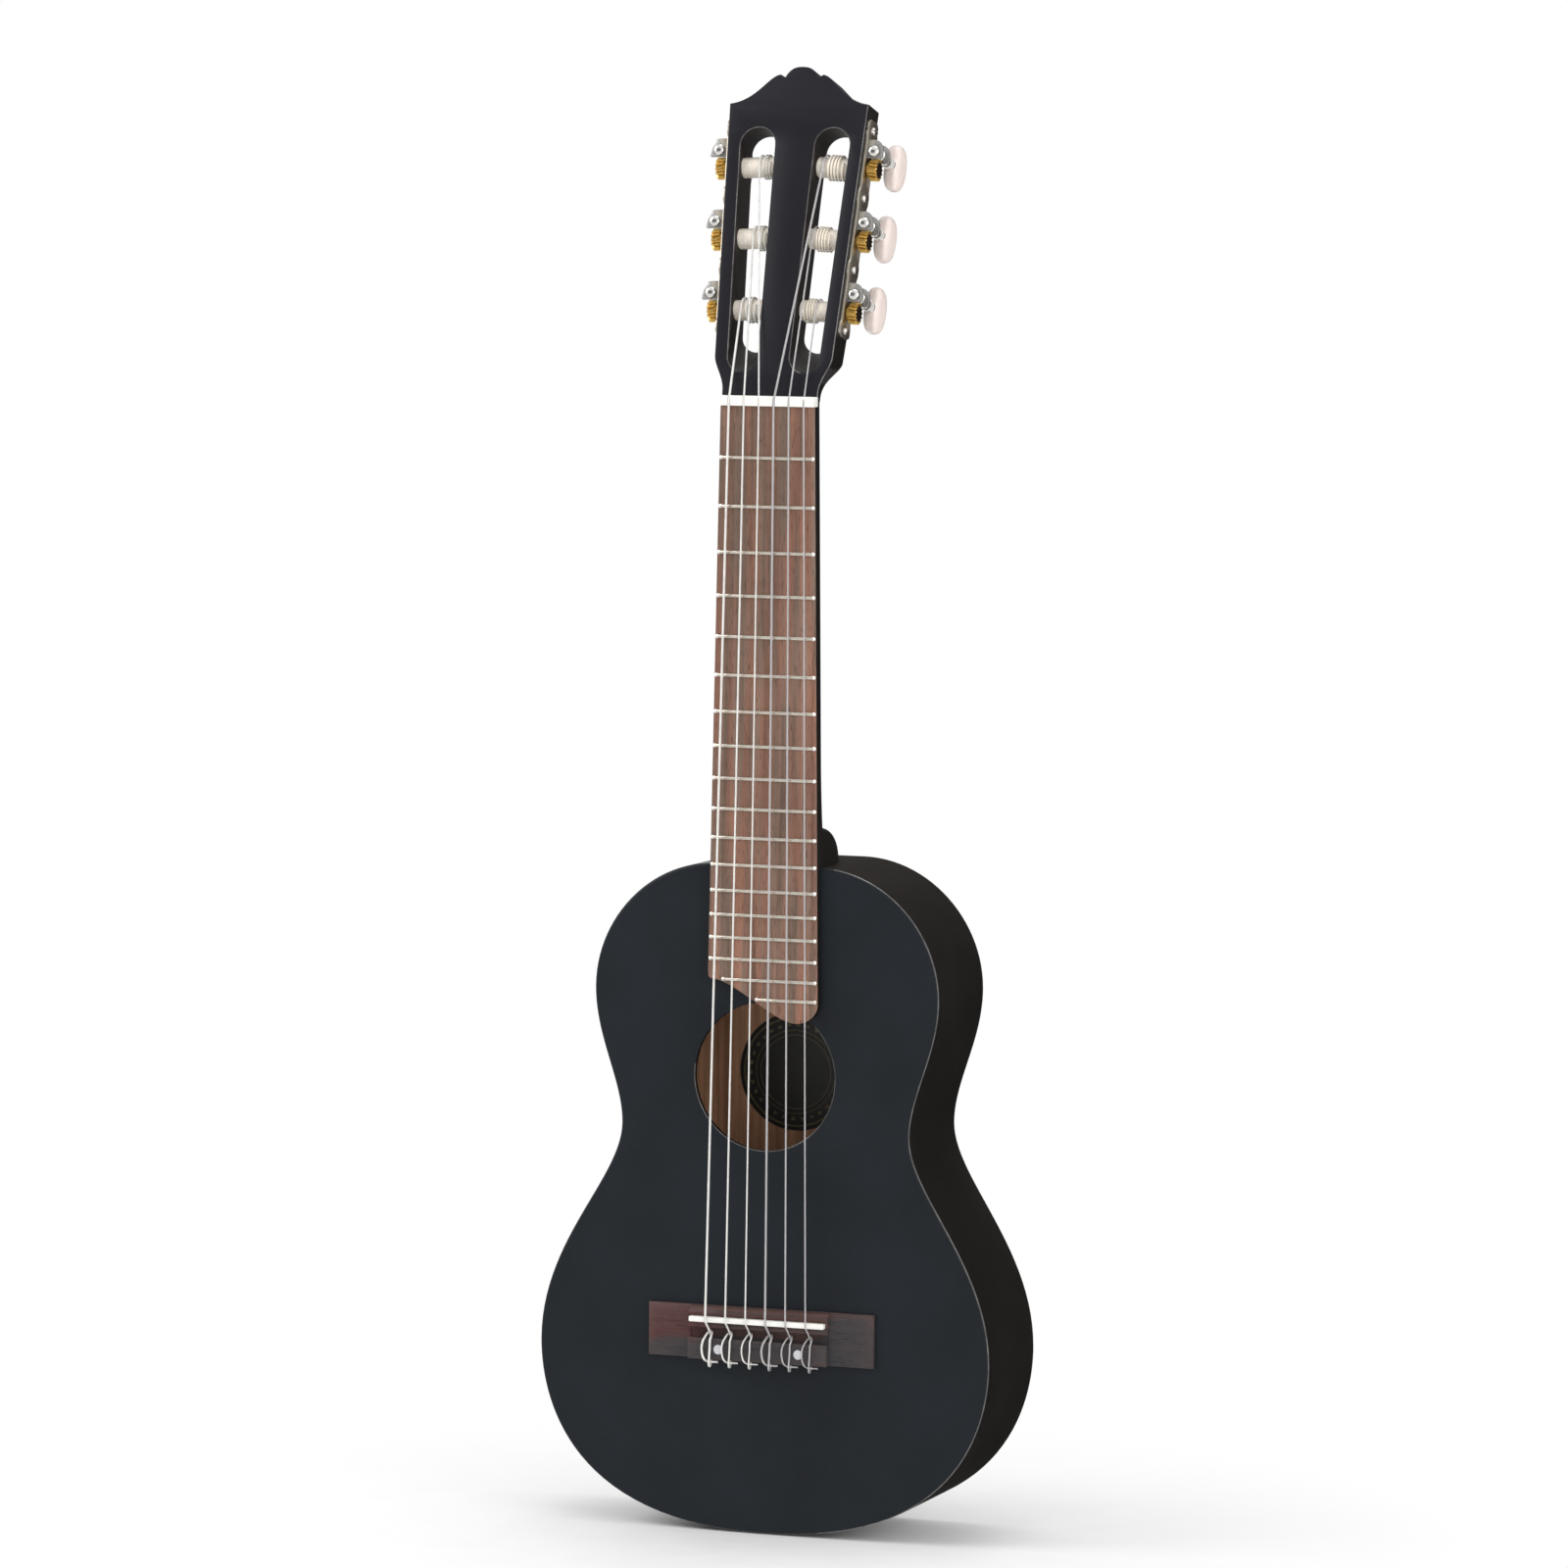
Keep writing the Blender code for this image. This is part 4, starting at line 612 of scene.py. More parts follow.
def moulded_plastic(name, color, roughness, cloud_shade=0.9, cloud_scale=180.0, rings=False):
    """Moulded plastic with faint flow clouds; rollers also show lathe lines."""
    finish = Finish(name, color, roughness)
    cloud = finish.noise(cloud_scale, 4.0, 0.55, None, 0.8)
    tone = finish.mix(finish.ramp(cloud, ((0.38, 0.0), (0.64, 1.0))), color,
                      shade(color, cloud_shade))
    finish.wire(finish.worn_edges(tone, shade(color, 1.06), 0.5))
    finish.vary_roughness(cloud, roughness - 0.07, roughness + 0.09)
    if rings:
        lines = finish.noise(1.0, 2.0, 0.5, finish.stretched((2600, 60, 60)))
        finish.bump(lines, 0.00003, 0.7)
    finish.bump(finish.noise(1500.0, 2.0), 0.00001, 0.3)
    finish.set("Subsurface Weight", 0.08)
    finish.set("Subsurface Radius", (0.0012, 0.0009, 0.0007))
    finish.set("Subsurface Scale", 1.0)
    return finish.material


def pearl_shell(name, color):
    """Shell inlay: curled patches that shift between pale tints."""
    finish = Finish(name, color, 0.18)
    swirl = finish.noise(420.0, 4.0, 0.6, None, 3.0)
    tone = finish.ramp(swirl, ((0.30, (0.46, 0.50, 0.56)), (0.45, (0.64, 0.62, 0.67)),
                               (0.55, (0.68, 0.69, 0.70)), (0.72, (0.50, 0.58, 0.57))))
    finish.wire(tone)
    finish.vary_roughness(swirl, 0.10, 0.26)
    finish.bump(swirl, 0.00002, 0.3)
    finish.set("Coat Weight", 0.6)
    finish.set("Coat Roughness", 0.06)
    return finish.material


def wound_wire(name, color, metallic):
    """Silver-plated wire wound on a core: ridges along the string's own length."""
    finish = Finish(name, color, 0.34, metallic)
    along = finish.add("ShaderNodeUVMap", uv_map="length").outputs["UV"]
    split = finish.add("ShaderNodeSeparateXYZ", {"Vector": along})
    turns = finish.math("MULTIPLY", split.outputs["X"], 2 * math.pi / WIRE_PITCH)
    ridges = finish.math("SINE", turns)
    tarnish = finish.noise(160.0, 3.0)
    tone = finish.ramp(tarnish, ((0.35, shade(color, 0.90)), (0.65, color)))
    # Darker in the grooves between the turns: painted shade.
    groove = finish.ramp(finish.math("ADD", finish.math("MULTIPLY", ridges, 0.5), 0.5),
                         ((0.0, 0.80), (0.5, 1.0)))
    finish.wire(finish.mix(1.0, tone, groove, "MULTIPLY"))
    finish.vary_roughness(tarnish, 0.24, 0.42)
    finish.bump(ridges, 0.00004, 0.8)
    return finish.material


def clear_nylon(name, color):
    """Drawn nylon: clear, slightly grey, with a soft sheen."""
    finish = Finish(name, color, 0.22)
    streak = finish.noise(1.0, 3.0, 0.5, finish.stretched((600, 600, 24)))
    finish.wire(finish.ramp(streak, ((0.3, shade(color, 0.88)), (0.7, color))))
    finish.vary_roughness(streak, 0.16, 0.32)
    finish.set("Transmission Weight", 0.42)
    finish.set("IOR", 1.40)
    return finish.material


def bare_wood(name, dark, light, scale):
    """Unvarnished wood inside the body, striped along the grain."""
    finish = Finish(name, light, 0.62)
    stripes = finish.noise(1.0, 5.0, 0.6, finish.stretched((scale, scale, scale * 0.03)), 0.3)
    fibre = finish.noise(1.0, 4.0, 0.7, finish.stretched((1300, 1300, 30)))
    tone = finish.ramp(stripes, ((0.32, dark), (0.62, light)))
    finish.wire(finish.mix(finish.ramp(fibre, ((0.35, 0.0), (0.8, 0.5))), tone,
                           shade(dark, 0.6)))
    finish.vary_roughness(fibre, 0.5, 0.75)
    finish.bump(fibre, 0.00005, 0.6)
    return finish.material


def printed_label(name, centre, radius):
    """Dark paper disc with plain gold rings and a ring of plain dots."""
    finish = Finish(name, (0.012, 0.011, 0.011), 0.55)
    offset = finish.vector("SUBTRACT", finish.place, centre)
    split = finish.add("ShaderNodeSeparateXYZ", {"Vector": offset})
    flat = finish.add("ShaderNodeCombineXYZ", {"X": split.outputs["X"], "Y": split.outputs["Z"]})
    share = finish.math("DIVIDE", finish.length(flat.outputs["Vector"]), radius)
    gold, dark = (0.15, 0.115, 0.055), (0.0125, 0.0105, 0.0075)
    rings = finish.ramp(share, ((0.0, 0.0), (0.62, 1.0), (0.635, 0.0), (0.70, 1.0), (0.715, 0.0),
                                (0.90, 1.0), (0.935, 0.0)), "CONSTANT")
    angle = finish.math("ARCTAN2", split.outputs["X"], split.outputs["Z"])
    beads = finish.math("GREATER_THAN", finish.math("SINE", finish.math("MULTIPLY", angle, 30.0)),
                        0.25)
    band = finish.ramp(share, ((0.0, 0.0), (0.775, 1.0), (0.83, 0.0)), "CONSTANT")
    both = finish.math("MAXIMUM", finish.math("MULTIPLY", beads, band), rings)
    fade = finish.noise(300.0, 4.0)
    both = finish.math("MULTIPLY", both, finish.ramp(fade, ((0.25, 0.55), (0.55, 1.0))))
    finish.wire(finish.mix(both, dark, gold))
    finish.vary_roughness(fade, 0.42, 0.62)
    finish.bump(fade, 0.00003, 0.4)
    return finish.material


FINISHES = {}


def finish(name):
    """The named finish, made from the panel's colours on its first use."""
    if name in FINISHES:
        return FINISHES[name]
    look = bpy.context.scene.guitalele_look
    black, rosewood, dark = look.black, look.rosewood, look.bridge_wood
    grey = shade((sum(dark) / 3,) * 3, 0.98, 0.96, 1.04)
    red = shade(dark, 1.5, 0.86, 0.95)
    bridge_patches = (
        ((-0.050, -0.004, BRIDGE_REAR + 0.017), (0.030, 0.03, 0.012), red, 0.7),
        ((0.0, -0.007, BRIDGE_REAR + 0.005), (0.050, 0.009, 0.0085), grey, 0.9),
        ((0.048, -0.004, BRIDGE_REAR + 0.010), (0.024, 0.03, 0.016), grey, 0.85),
        ((-0.043, -0.004, BRIDGE_REAR + 0.002), (0.020, 0.02, 0.009), grey, 0.75))
    makers = {
        "black_face": lambda: satin_lacquer(name, black, look.satin),
        "black_head": lambda: satin_lacquer(name, shade(black, 1.22, 0.86, 0.94), look.satin),
        "black_side": lambda: satin_lacquer(name, (0.0115, 0.0104, 0.0098), 0.30, 0.10, 0.3),
        # Painted highlight on the lit edges of the black lacquer
        "painted_edge_highlight": lambda: edge_highlight_lacquer(name, (0.115, 0.108, 0.100)),
        "slot_wall": lambda: bare_wood(name, (0.004, 0.0034, 0.0032), (0.014, 0.0095, 0.008), 300),
        "rosewood": lambda: open_grain_wood(
            name, shade(rosewood, 0.36), tuple(rosewood), shade(rosewood, 1.7), 0.50),
        "bridge_wood": lambda: open_grain_wood(
            name, shade(dark, 0.5), tuple(dark), shade(dark, 1.9), 0.46, 1.6, True,
            bridge_patches),
        "bone": lambda: moulded_plastic(name, tuple(look.bone), 0.30),
        "inner_wood": lambda: bare_wood(name, (0.26, 0.15, 0.08), (0.46, 0.31, 0.18), 240),
        # The back's inside wood, coloured lighter than its own: painted light for the light
        # through the sound hole
        "back_wood_painted_light": lambda: bare_wood(name, (0.42, 0.19, 0.10), (0.86, 0.47, 0.27), 200),
        "label": lambda: printed_label(name, (LABEL_PLACE[0], 0.0, LABEL_PLACE[1]),
                                       LABEL_RADIUS),
        "nickel": lambda: plated_metal(name, shade(look.nickel, 0.66), 0.24, (60, 900, 900)),
        "dull_nickel": lambda: plated_metal(name, shade(look.nickel, 0.78, 0.72, 0.63), 0.30,
                                            (900, 900, 60), 0.5),
        "bright_nickel": lambda: plated_metal(name, shade(look.nickel, 1.4), 0.12,
                                              (500, 500, 500)),
        # Near-black for the roller's end, the gear's bore and the screw in it: painted shade in
        # the recess
        "painted_recess_shade": lambda: satin_lacquer(name, (0.016, 0.009, 0.005), 0.5, 0.10),
        "fret_wire": lambda: plated_metal(name, (0.60, 0.55, 0.48), 0.24, (60, 900, 900)),
        # A much brighter copy of the fret metal for the fret ends: painted glints
        "fret_end_glint": lambda: plated_metal(name, (0.94, 0.92, 0.88), 0.30, (900, 900, 900)),
        "brass": lambda: plated_metal(name, tuple(look.brass), 0.27, (300, 300, 900), 0.6),
        "roller": lambda: moulded_plastic(name, tuple(look.roller), 0.34, rings=True),
        "button": lambda: moulded_plastic(name, tuple(look.button), 0.22, 0.92, 120.0),
        "pearl": lambda: pearl_shell(name, (0.8, 0.8, 0.82)),
        "bass": lambda: wound_wire(name, (0.98, 0.96, 0.92), 0.2),
        "bass_turns": lambda: wound_wire(name, (1.0, 0.97, 0.91), 0.0),
        "nylon": lambda: clear_nylon(name, (0.70, 0.68, 0.69)),
        "nylon_turns": lambda: moulded_plastic(name, shade(look.roller, 1.04), 0.26),
    }
    FINISHES[name] = makers[name]()
    return FINISHES[name]


# Outlines

def bezier(start, first, second, end, steps):
    """Points after the start of one Bezier stretch."""
    result = []
    for i in range(1, steps + 1):
        t = i / steps
        weights = ((1 - t) ** 3, 3 * (1 - t) ** 2 * t, 3 * (1 - t) * t * t, t ** 3)
        result.append(tuple(sum(w * c[k] for w, c in zip(weights, (start, first, second, end)))
                            for k in (0, 1)))
    return result


def arc(centre, radius, start, end, steps):
    return [(centre[0] + radius * math.cos(start + (end - start) * i / steps),
             centre[1] + radius * math.sin(start + (end - start) * i / steps))
            for i in range(steps + 1)]


def circle(centre, radius, steps):
    return arc(centre, radius, 0, 2 * math.pi, steps)[:-1]


def inset(outline, amount):
    """A closed outline moved inward, whichever way round it runs."""
    following = outline[1:] + outline[:1]
    area = sum(x * next_z - next_x * z for (x, z), (next_x, next_z) in zip(outline, following))
    sign = 1 if area > 0 else -1
    result = []
    for i, (x, z) in enumerate(outline):
        before, after = Vector(outline[i - 1]), Vector(following[i])
        here = Vector((x, z))
        first, second = (here - before).normalized(), (after - here).normalized()
        along = first + second
        along = along.normalized() if along.length > 1e-6 else first
        scale = sign * amount / max(along.dot(first), 0.6)
        result.append((x - along.y * scale, z + along.x * scale))
    return result


def body_half():
    """Treble half of the body's outline, from the neck to the tail."""
    steps = 26
    shoulder, tail = (0.026, BODY_TOP), (0.0, BODY_BOTTOM)
    upper = (0.0865, BODY_BOTTOM + 0.258)
    waist = (0.0725, BODY_BOTTOM + 0.1932)
    lower = (0.1133, BODY_BOTTOM + 0.087)
    points = [(0.0, BODY_TOP), (0.013, BODY_TOP), shoulder]
    points += bezier(shoulder, (shoulder[0] + 0.0332, BODY_TOP), (upper[0], upper[1] + 0.0325),
                     upper, steps)
    points += bezier(upper, (upper[0], upper[1] - 0.0248), (waist[0], waist[1] + 0.02),
                     waist, steps)
    points += bezier(waist, (waist[0], waist[1] - 0.0267), (lower[0], lower[1] + 0.0479),
                     lower, steps)
    points += bezier(lower, (lower[0], lower[1] - 0.0227), (0.1042, BODY_BOTTOM), tail,
                     steps + 4)
    return points


def body_outline():
    half = body_half()
    return half + [(-x, z) for x, z in reversed(half[1:-1])]


def back_depth(z):
    share = (z - BODY_BOTTOM) / BODY_LENGTH
    return DEPTH_TAIL + (DEPTH_NECK - DEPTH_TAIL) * share


def rounded_rim(low, high, outline, low_radius=0.0, high_radius=0.0, steps=4):
    """Rings from one face to the other, rounded where a radius is given."""
    rings = []
    for i in range(steps + 1 if low_radius else 1):
        angle = math.pi / 2 * i / steps
        rings.append((low + low_radius * (1 - math.cos(angle)),
                      inset(outline, low_radius * (1 - math.sin(angle)))))
    for i in range(steps + 1 if high_radius else 1):
        angle = math.pi / 2 * i / steps
        rings.append((high - high_radius * (1 - math.sin(angle)),
                      inset(outline, high_radius * (1 - math.cos(angle)))))
    return rings


def along_back(mesh):
    """Moves a flat mesh so that its depth follows the back's slope."""
    for vertex in mesh.vertices:
        vertex.co.y += back_depth(vertex.co.z)
    return mesh


# Body

def make_soundboard():
    hole, lip = circle((0, HOLE_Z), HOLE_RADIUS, 96), 0.0004
    rings = [(0.0, inset(hole, -lip)), (lip * 0.3, inset(hole, -lip * 0.3)), (lip, hole),
             (TOP_THICK, hole)]
    mesh = plate(rounded_rim(0.0, TOP_THICK, body_outline(), 0.0016), [rings])
    item = add_piece("soundboard_face", mesh, finish("black_face"), "instrument",
                     ["soundboard"], 50.0)
    second_finish(item, finish("black_side"), lambda centre, normal: abs(normal.y) < 0.3)

    # Painted highlight on the sound hole's lip on its lit side, and on the rim where it faces
    # right and forward.
    def lighter_edge(centre, normal):
        if math.hypot(centre.x, centre.z - HOLE_Z) < HOLE_RADIUS + 2 * lip:
            lit_side = centre.x * 0.35 - (centre.z - HOLE_Z) > -0.016
            return lit_side and centre.y < 0.0005 and -0.97 < normal.y < -0.1
        return normal.x > 0.12 and -0.78 < normal.y < -0.5
    second_finish(item, finish("painted_edge_highlight"), lighter_edge)


def make_back_and_sides():
    look = finish("black_side")
    mesh = plate(rounded_rim(-BACK_THICK, 0.0, body_outline(), 0.0, 0.0013))
    add_piece("back_panel", along_back(mesh), look, "instrument", ["back_plate"],
              50.0)
    # Inside the back: bare wood coloured lighter than its own, as painted light.
    lining = plate(rounded_rim(-BACK_THICK - 0.0001, -BACK_THICK + 0.0004,
                               inset(body_outline(), SIDE_THICK + 0.0004)))
    add_piece("back_inside_face", along_back(lining), finish("back_wood_painted_light"), "instrument")
    outer = body_half()
    inner = inset(body_outline(), SIDE_THICK)[:len(outer)]
    inner[0], inner[-1] = (0.0, inner[0][1]), (0.0, inner[-1][1])
    outline = outer + inner[::-1]

    def close_ends(work):
        bmesh.ops.holes_fill(work, edges=[e for e in work.edges if e.is_boundary], sides=0)
        bmesh.ops.triangulate(work, faces=[f for f in work.faces if len(f.verts) > 4])
        bmesh.ops.recalc_face_normals(work, faces=work.faces)

    for name, sign in (("treble", 1), ("bass", -1)):
        front = [Vector((sign * x, TOP_THICK - 0.0001, z)) for x, z in outline]
        rear = [Vector((sign * x, back_depth(z) - BACK_THICK + 0.0001, z)) for x, z in outline]
        mesh = edited(loft([front, rear], caps=False), close_ends)
        add_piece(f"side_panel_{name}", mesh, look, "instrument", [f"side_{name}"],
                  50.0)


def make_inside():
    """Blocks, linings and braces keep their solids and take a bare wood finish."""
    for node in ("neck_block", "tail_block", "lining_front_bass", "lining_front_treble",
                 "lining_back_bass", "lining_back_treble", "brace_front_upper",
                 "brace_front_lower", "brace_back_upper", "brace_back_lower"):
        paint(node, finish("inner_wood"))
    disc = plate(rounded_rim(-BACK_THICK - 0.0005, -BACK_THICK,
                             circle(LABEL_PLACE, LABEL_RADIUS, 96)))
    add_piece("label_disc", along_back(disc), finish("label"), "instrument",
              ["label"])
    make_kerfs()


def paint(node, material):
    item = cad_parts[node]
    item.data.materials.clear()
    item.data.materials.append(material)


def make_kerfs():
    """Thin strips between the cuts of the kerfed linings."""
    inner = inset(body_outline(), SIDE_THICK + 0.0055)[:len(body_half())]
    places = []
    for sign in (1, -1):
        for (x, z), (next_x, next_z) in zip(inner, inner[1:]):
            run = Vector((next_x - x, 0, next_z - z))
            if min(x, next_x) < 0.034 or run.length < 1e-5:
                continue
            count = max(1, round(run.length / KERF_STEP))
            turn = Matrix.Rotation(-math.atan2(run.z, run.x * sign), 4, "Y")
            for k in range(count):
                at = (k + 0.5) / count
                px, pz = x + run.x * at, z + run.z * at
                for depth in (TOP_THICK + 0.0063, back_depth(pz) - BACK_THICK - 0.0063):
                    places.append(Matrix.Translation((sign * px, depth, pz)) @ turn)
    slat = block((-0.0020, -0.0056, -0.0006), (0.0020, 0.0056, 0.0006))
    mesh = spread(slat, places, finish("inner_wood"))
    add_piece("lining_kerf_teeth", mesh, finish("inner_wood"), "instrument")


# Neck and head

def axes(*rows):
    """A turn given by its rows."""
    return Matrix(rows).to_4x4()


HEAD = Matrix.Translation((0, -FACE_LIFT, 0)) @ axes(
    (1, 0, 0), (0, math.sin(TILT), -math.cos(TILT)), (0, math.cos(TILT), math.sin(TILT)))
HEAD_FROM_PLATE = HEAD @ axes((1, 0, 0), (0, 0, 1), (0, -1, 0))
TURN_TO_X = Matrix.Rotation(math.radians(90.0), 4, "Y")
DRAWN_UP = axes((0, 0, 1), (1, 0, 0), (0, 1, 0))


def smooth_step(value, run):
    t = min(max(value / run, 0.0), 1.0)
    return t * t * (3 - 2 * t)


def board_half(z):
    return (NUT_WIDTH + (JOINT_WIDTH - NUT_WIDTH) * z / BODY_TOP) / 2


def squared_off(angle, power):
    """A point on a circle that its power draws out towards a square."""
    return tuple(math.copysign(abs(part) ** (2 / power), part)
                 for part in (math.cos(angle), math.sin(angle)))


def neck_section(z):
    """Cross section of the neck, from treble to bass; the heel bulges out as a quarter round."""
    width = board_half(min(z, 0))
    start = BODY_TOP + HEEL_LENGTH
    share = min(1.0, max(0.0, z / start))
    depth = SHAFT_DEPTH_NUT + (SHAFT_DEPTH_HEEL - SHAFT_DEPTH_NUT) * share
    depth += HEEL_SWELL_DEPTH * min(1.0, max(0.0, (start + HEEL_SWELL - z) / HEEL_SWELL)) ** 2
    run = min(1.0, max(0.0, (start - z) / HEEL_LENGTH))
    blend = (1 - (1 - run) ** 2) ** HEEL_ROUNDNESS
    depth += (back_depth(BODY_TOP) - depth) * blend
    power, taper = 2 + blend, HEEL_TAPER * blend
    section, steps = [], 48
    for i in range(steps + 1):
        x, y = squared_off(math.pi * i / steps, power)
        section.append(Vector((width * x * (1 - taper * y * y), depth * y, z)))
    return section


def throat_rounded(depth, outline):
    """The head's outline at a depth, drawn in where the head runs into the neck's round back."""
    result = []
    for x, s in outline:
        square = smooth_step(s - THROAT_START, THROAT_RUN)
        share = max(depth, 0.0) / (HEAD_THICK + 0.0004)
        round_half = (1 - share ** THROAT_POWER) ** (1 / THROAT_POWER)
        result.append((x * (square + (1 - square) * round_half), s))
    return result


def head_outline():
    throat, throat_end = 0.024, 0.0068
    half = [(throat, NUT_LENGTH - 0.0003), (throat, throat_end)]
    half += bezier((throat, throat_end), (throat, 0.01388), (HEAD_FLARE[0], 0.01919),
                   HEAD_FLARE, 16)
    half += [(head_half(s), s) for s in
             (HEAD_FLARE[1] + (HEAD_TOP[1] - HEAD_FLARE[1]) * i / 8 for i in range(1, 9))]
    shoulder, notch = (0.01075, 0.1610), (0.0083, 0.1597)
    run, climb = HEAD_TOP[0] - shoulder[0], shoulder[1] - HEAD_TOP[1]
    half += bezier(HEAD_TOP, (HEAD_TOP[0] - run * 0.55, HEAD_TOP[1] + climb * 0.12),
                   (shoulder[0] + run * 0.25, shoulder[1] - climb * 0.05), shoulder, 16)
    half.append(notch)
    crown = HEAD_LENGTH - notch[1]
    half += bezier(notch, (notch[0] * 0.72, notch[1] + crown * 0.85),
                   (notch[0] * 0.42, HEAD_LENGTH), (0.0, HEAD_LENGTH), 12)
    return half + [(-x, s) for x, s in reversed(half) if x > 0]


def slot_outline(side, depth, grow):
    """A slot at a depth below the head's face; its lower end slopes like a ramp."""
    steps = 20
    across, along = SLOT_HIGH[0] - SLOT_LOW[0], SLOT_HIGH[1] - SLOT_LOW[1]
    lean = math.atan2(-across, along)
    widening = math.asin((SLOT_HIGH_RADIUS - SLOT_LOW_RADIUS) / math.hypot(across, along))
    upper = arc(SLOT_HIGH, SLOT_HIGH_RADIUS + grow, lean - widening,
                math.pi + lean + widening, steps)
    lower = arc(SLOT_LOW, SLOT_LOW_RADIUS + grow, math.pi + lean + widening,
                2 * math.pi + lean - widening, steps)
    slide = SLOT_RAMP * min(max(depth / HEAD_THICK, 0.0), 1.0) ** 0.8
    return [(side * x, s) for x, s in upper] + [(side * x, s + slide) for x, s in lower]


def roller_span(number):
    """The slot's inner and outer wall beside a roller, from the head's side."""
    s = roller_level(number)
    share = (s - SLOT_LOW[1]) / (SLOT_HIGH[1] - SLOT_LOW[1])
    centre = SLOT_LOW[0] + (SLOT_HIGH[0] - SLOT_LOW[0]) * share
    radius = SLOT_LOW_RADIUS + (SLOT_HIGH_RADIUS - SLOT_LOW_RADIUS) * share
    return centre - radius - head_half(s), centre + radius - head_half(s)


def roller_level(number):
    return ROLLER_LEVELS[number - 1 if number <= 3 else 6 - number]


def string_side(number):
    return 1 if number <= 3 else -1


def head_half(s):
    share = (s - HEAD_FLARE[1]) / (HEAD_TOP[1] - HEAD_FLARE[1])
    return HEAD_FLARE[0] + (HEAD_TOP[0] - HEAD_FLARE[0]) * share


def side_frame(side):
    """Frame on the head's side: X along the rollers, Y up the side, Z to the front."""
    return (HEAD @ Matrix.Translation((side * head_half(0.0), 0, 0))
            @ Matrix.Rotation(-side * SPLAY, 4, "Z"))


def side_place(side, out=0.0, up=0.0):
    """Place on the side; what is drawn for the treble side is mirrored for the bass."""
    return (side_frame(side) @ Matrix.Translation((side * out, up, -ROLLER_DEPTH))
            @ Matrix.Diagonal((side, 1, 1, 1)))


def tuner_place(number, out=0.0, higher=0.0):
    """Place of a tuner part, on its roller's axis or higher by some distance."""
    return side_place(string_side(number), out, up_side(roller_level(number)) + higher)


def up_side(s):
    return s / math.cos(SPLAY)


def make_neck():
    outline = head_outline()
    rim = rounded_rim(0.0, HEAD_THICK, outline, 0.0006, 0.003, 5)
    middle = [(0.0006 + 0.0144 * i / 12, outline) for i in range(1, 12)]
    rim = [(depth, throat_rounded(depth, edge)) for depth, edge in rim[:6] + middle + rim[6:]]
    slot_rings = ((0.0, 0.0004), (0.00012, 0.00014), (0.0004, 0.0), (0.003, 0.0), (0.006, 0.0),
                  (0.009, 0.0), (0.012, 0.0), (0.015, 0.0), (0.0174, 0.0), (0.0178, 0.0002),
                  (HEAD_THICK, 0.0006))
    holes = [[(depth, slot_outline(side, depth, grow)) for depth, grow in slot_rings]
             for side in (1, -1)]
    head = moved(plate(rim, holes), HEAD_FROM_PLATE)
    start = BODY_TOP + HEEL_LENGTH
    levels = [0.010, 0.005, 0.0] + [(start + HEEL_SWELL) * i / 8 for i in range(1, 9)]
    levels += [start + HEEL_SWELL * (1 - i / 10) for i in range(1, 11)]
    levels += [start + (BODY_TOP + 0.0001 - start) * (i / 26) ** 2 for i in range(1, 27)]
    shaft = loft([neck_section(z) for z in levels])
    nut_seat = block((-0.03, -0.02, -0.02), (0.03, 0.0, NUT_LENGTH + 0.0002))
    neck = boolean(boolean(head, [nut_seat]), [shaft], "UNION")
    bores = []
    for number in STRINGS:
        inner, outer = roller_span(number)
        profile = [(0, 0.004), (0.0052, 0.004), (0.0052, outer - 0.002),
                   (0.0025, outer - 0.002), (0.0025, inner - 0.0053), (0, inner - 0.0053)]
        bores.append(moved(revolve(profile, 28), tuner_place(number) @ TURN_TO_X))
    neck = boolean(neck, bores)
    item = add_piece("neck_and_head", neck, finish("black_head"), "instrument", ["neck"],
                     38.0)
    front = Vector((0, -math.cos(TILT), math.sin(TILT)))
    local = HEAD.inverted()
    slots_from, slots_to, below_face = 0.012, 0.137, -0.0009

    def in_slot(centre, normal):
        spot = local @ centre
        return (slots_from < spot.y < slots_to and -0.0172 < spot.z < below_face
                and abs(spot.x) < head_half(spot.y) - 0.0012 and abs(normal.dot(front)) < 0.75)

    # Painted highlight on the head's right-facing rims and on the slots' lips.
    def on_edge(centre, normal):
        spot = local @ centre
        right_rim = abs(spot.x) > 0.0232 + 0.03 * max(0.0, spot.y - 0.02) and normal.x > 0.1
        slot_lip = (abs(spot.x) < 0.028 and slots_from < spot.y < slots_to
                    and (normal.x > 0.1 or spot.y > 0.128))
        return (spot.y > 0.004 and spot.z > -0.0006 and 0.18 < normal.dot(front) < 0.93
                and (right_rim or slot_lip))

    def on_side(centre, normal):
        spot = local @ centre
        return spot.y < 0.0 or normal.dot(front) < -0.18 or (
            normal.dot(front) < 0.18 and spot.z < below_face and abs(spot.x) > 0.02)

    second_finish(item, finish("black_side"), on_side)
    second_finish(item, finish("slot_wall"), in_slot)
    second_finish(item, finish("painted_edge_highlight"), on_edge)


# Fingerboard, frets and nut

def fret_height(number):
    return -SCALE * (1 - 2 ** (-number / 12))


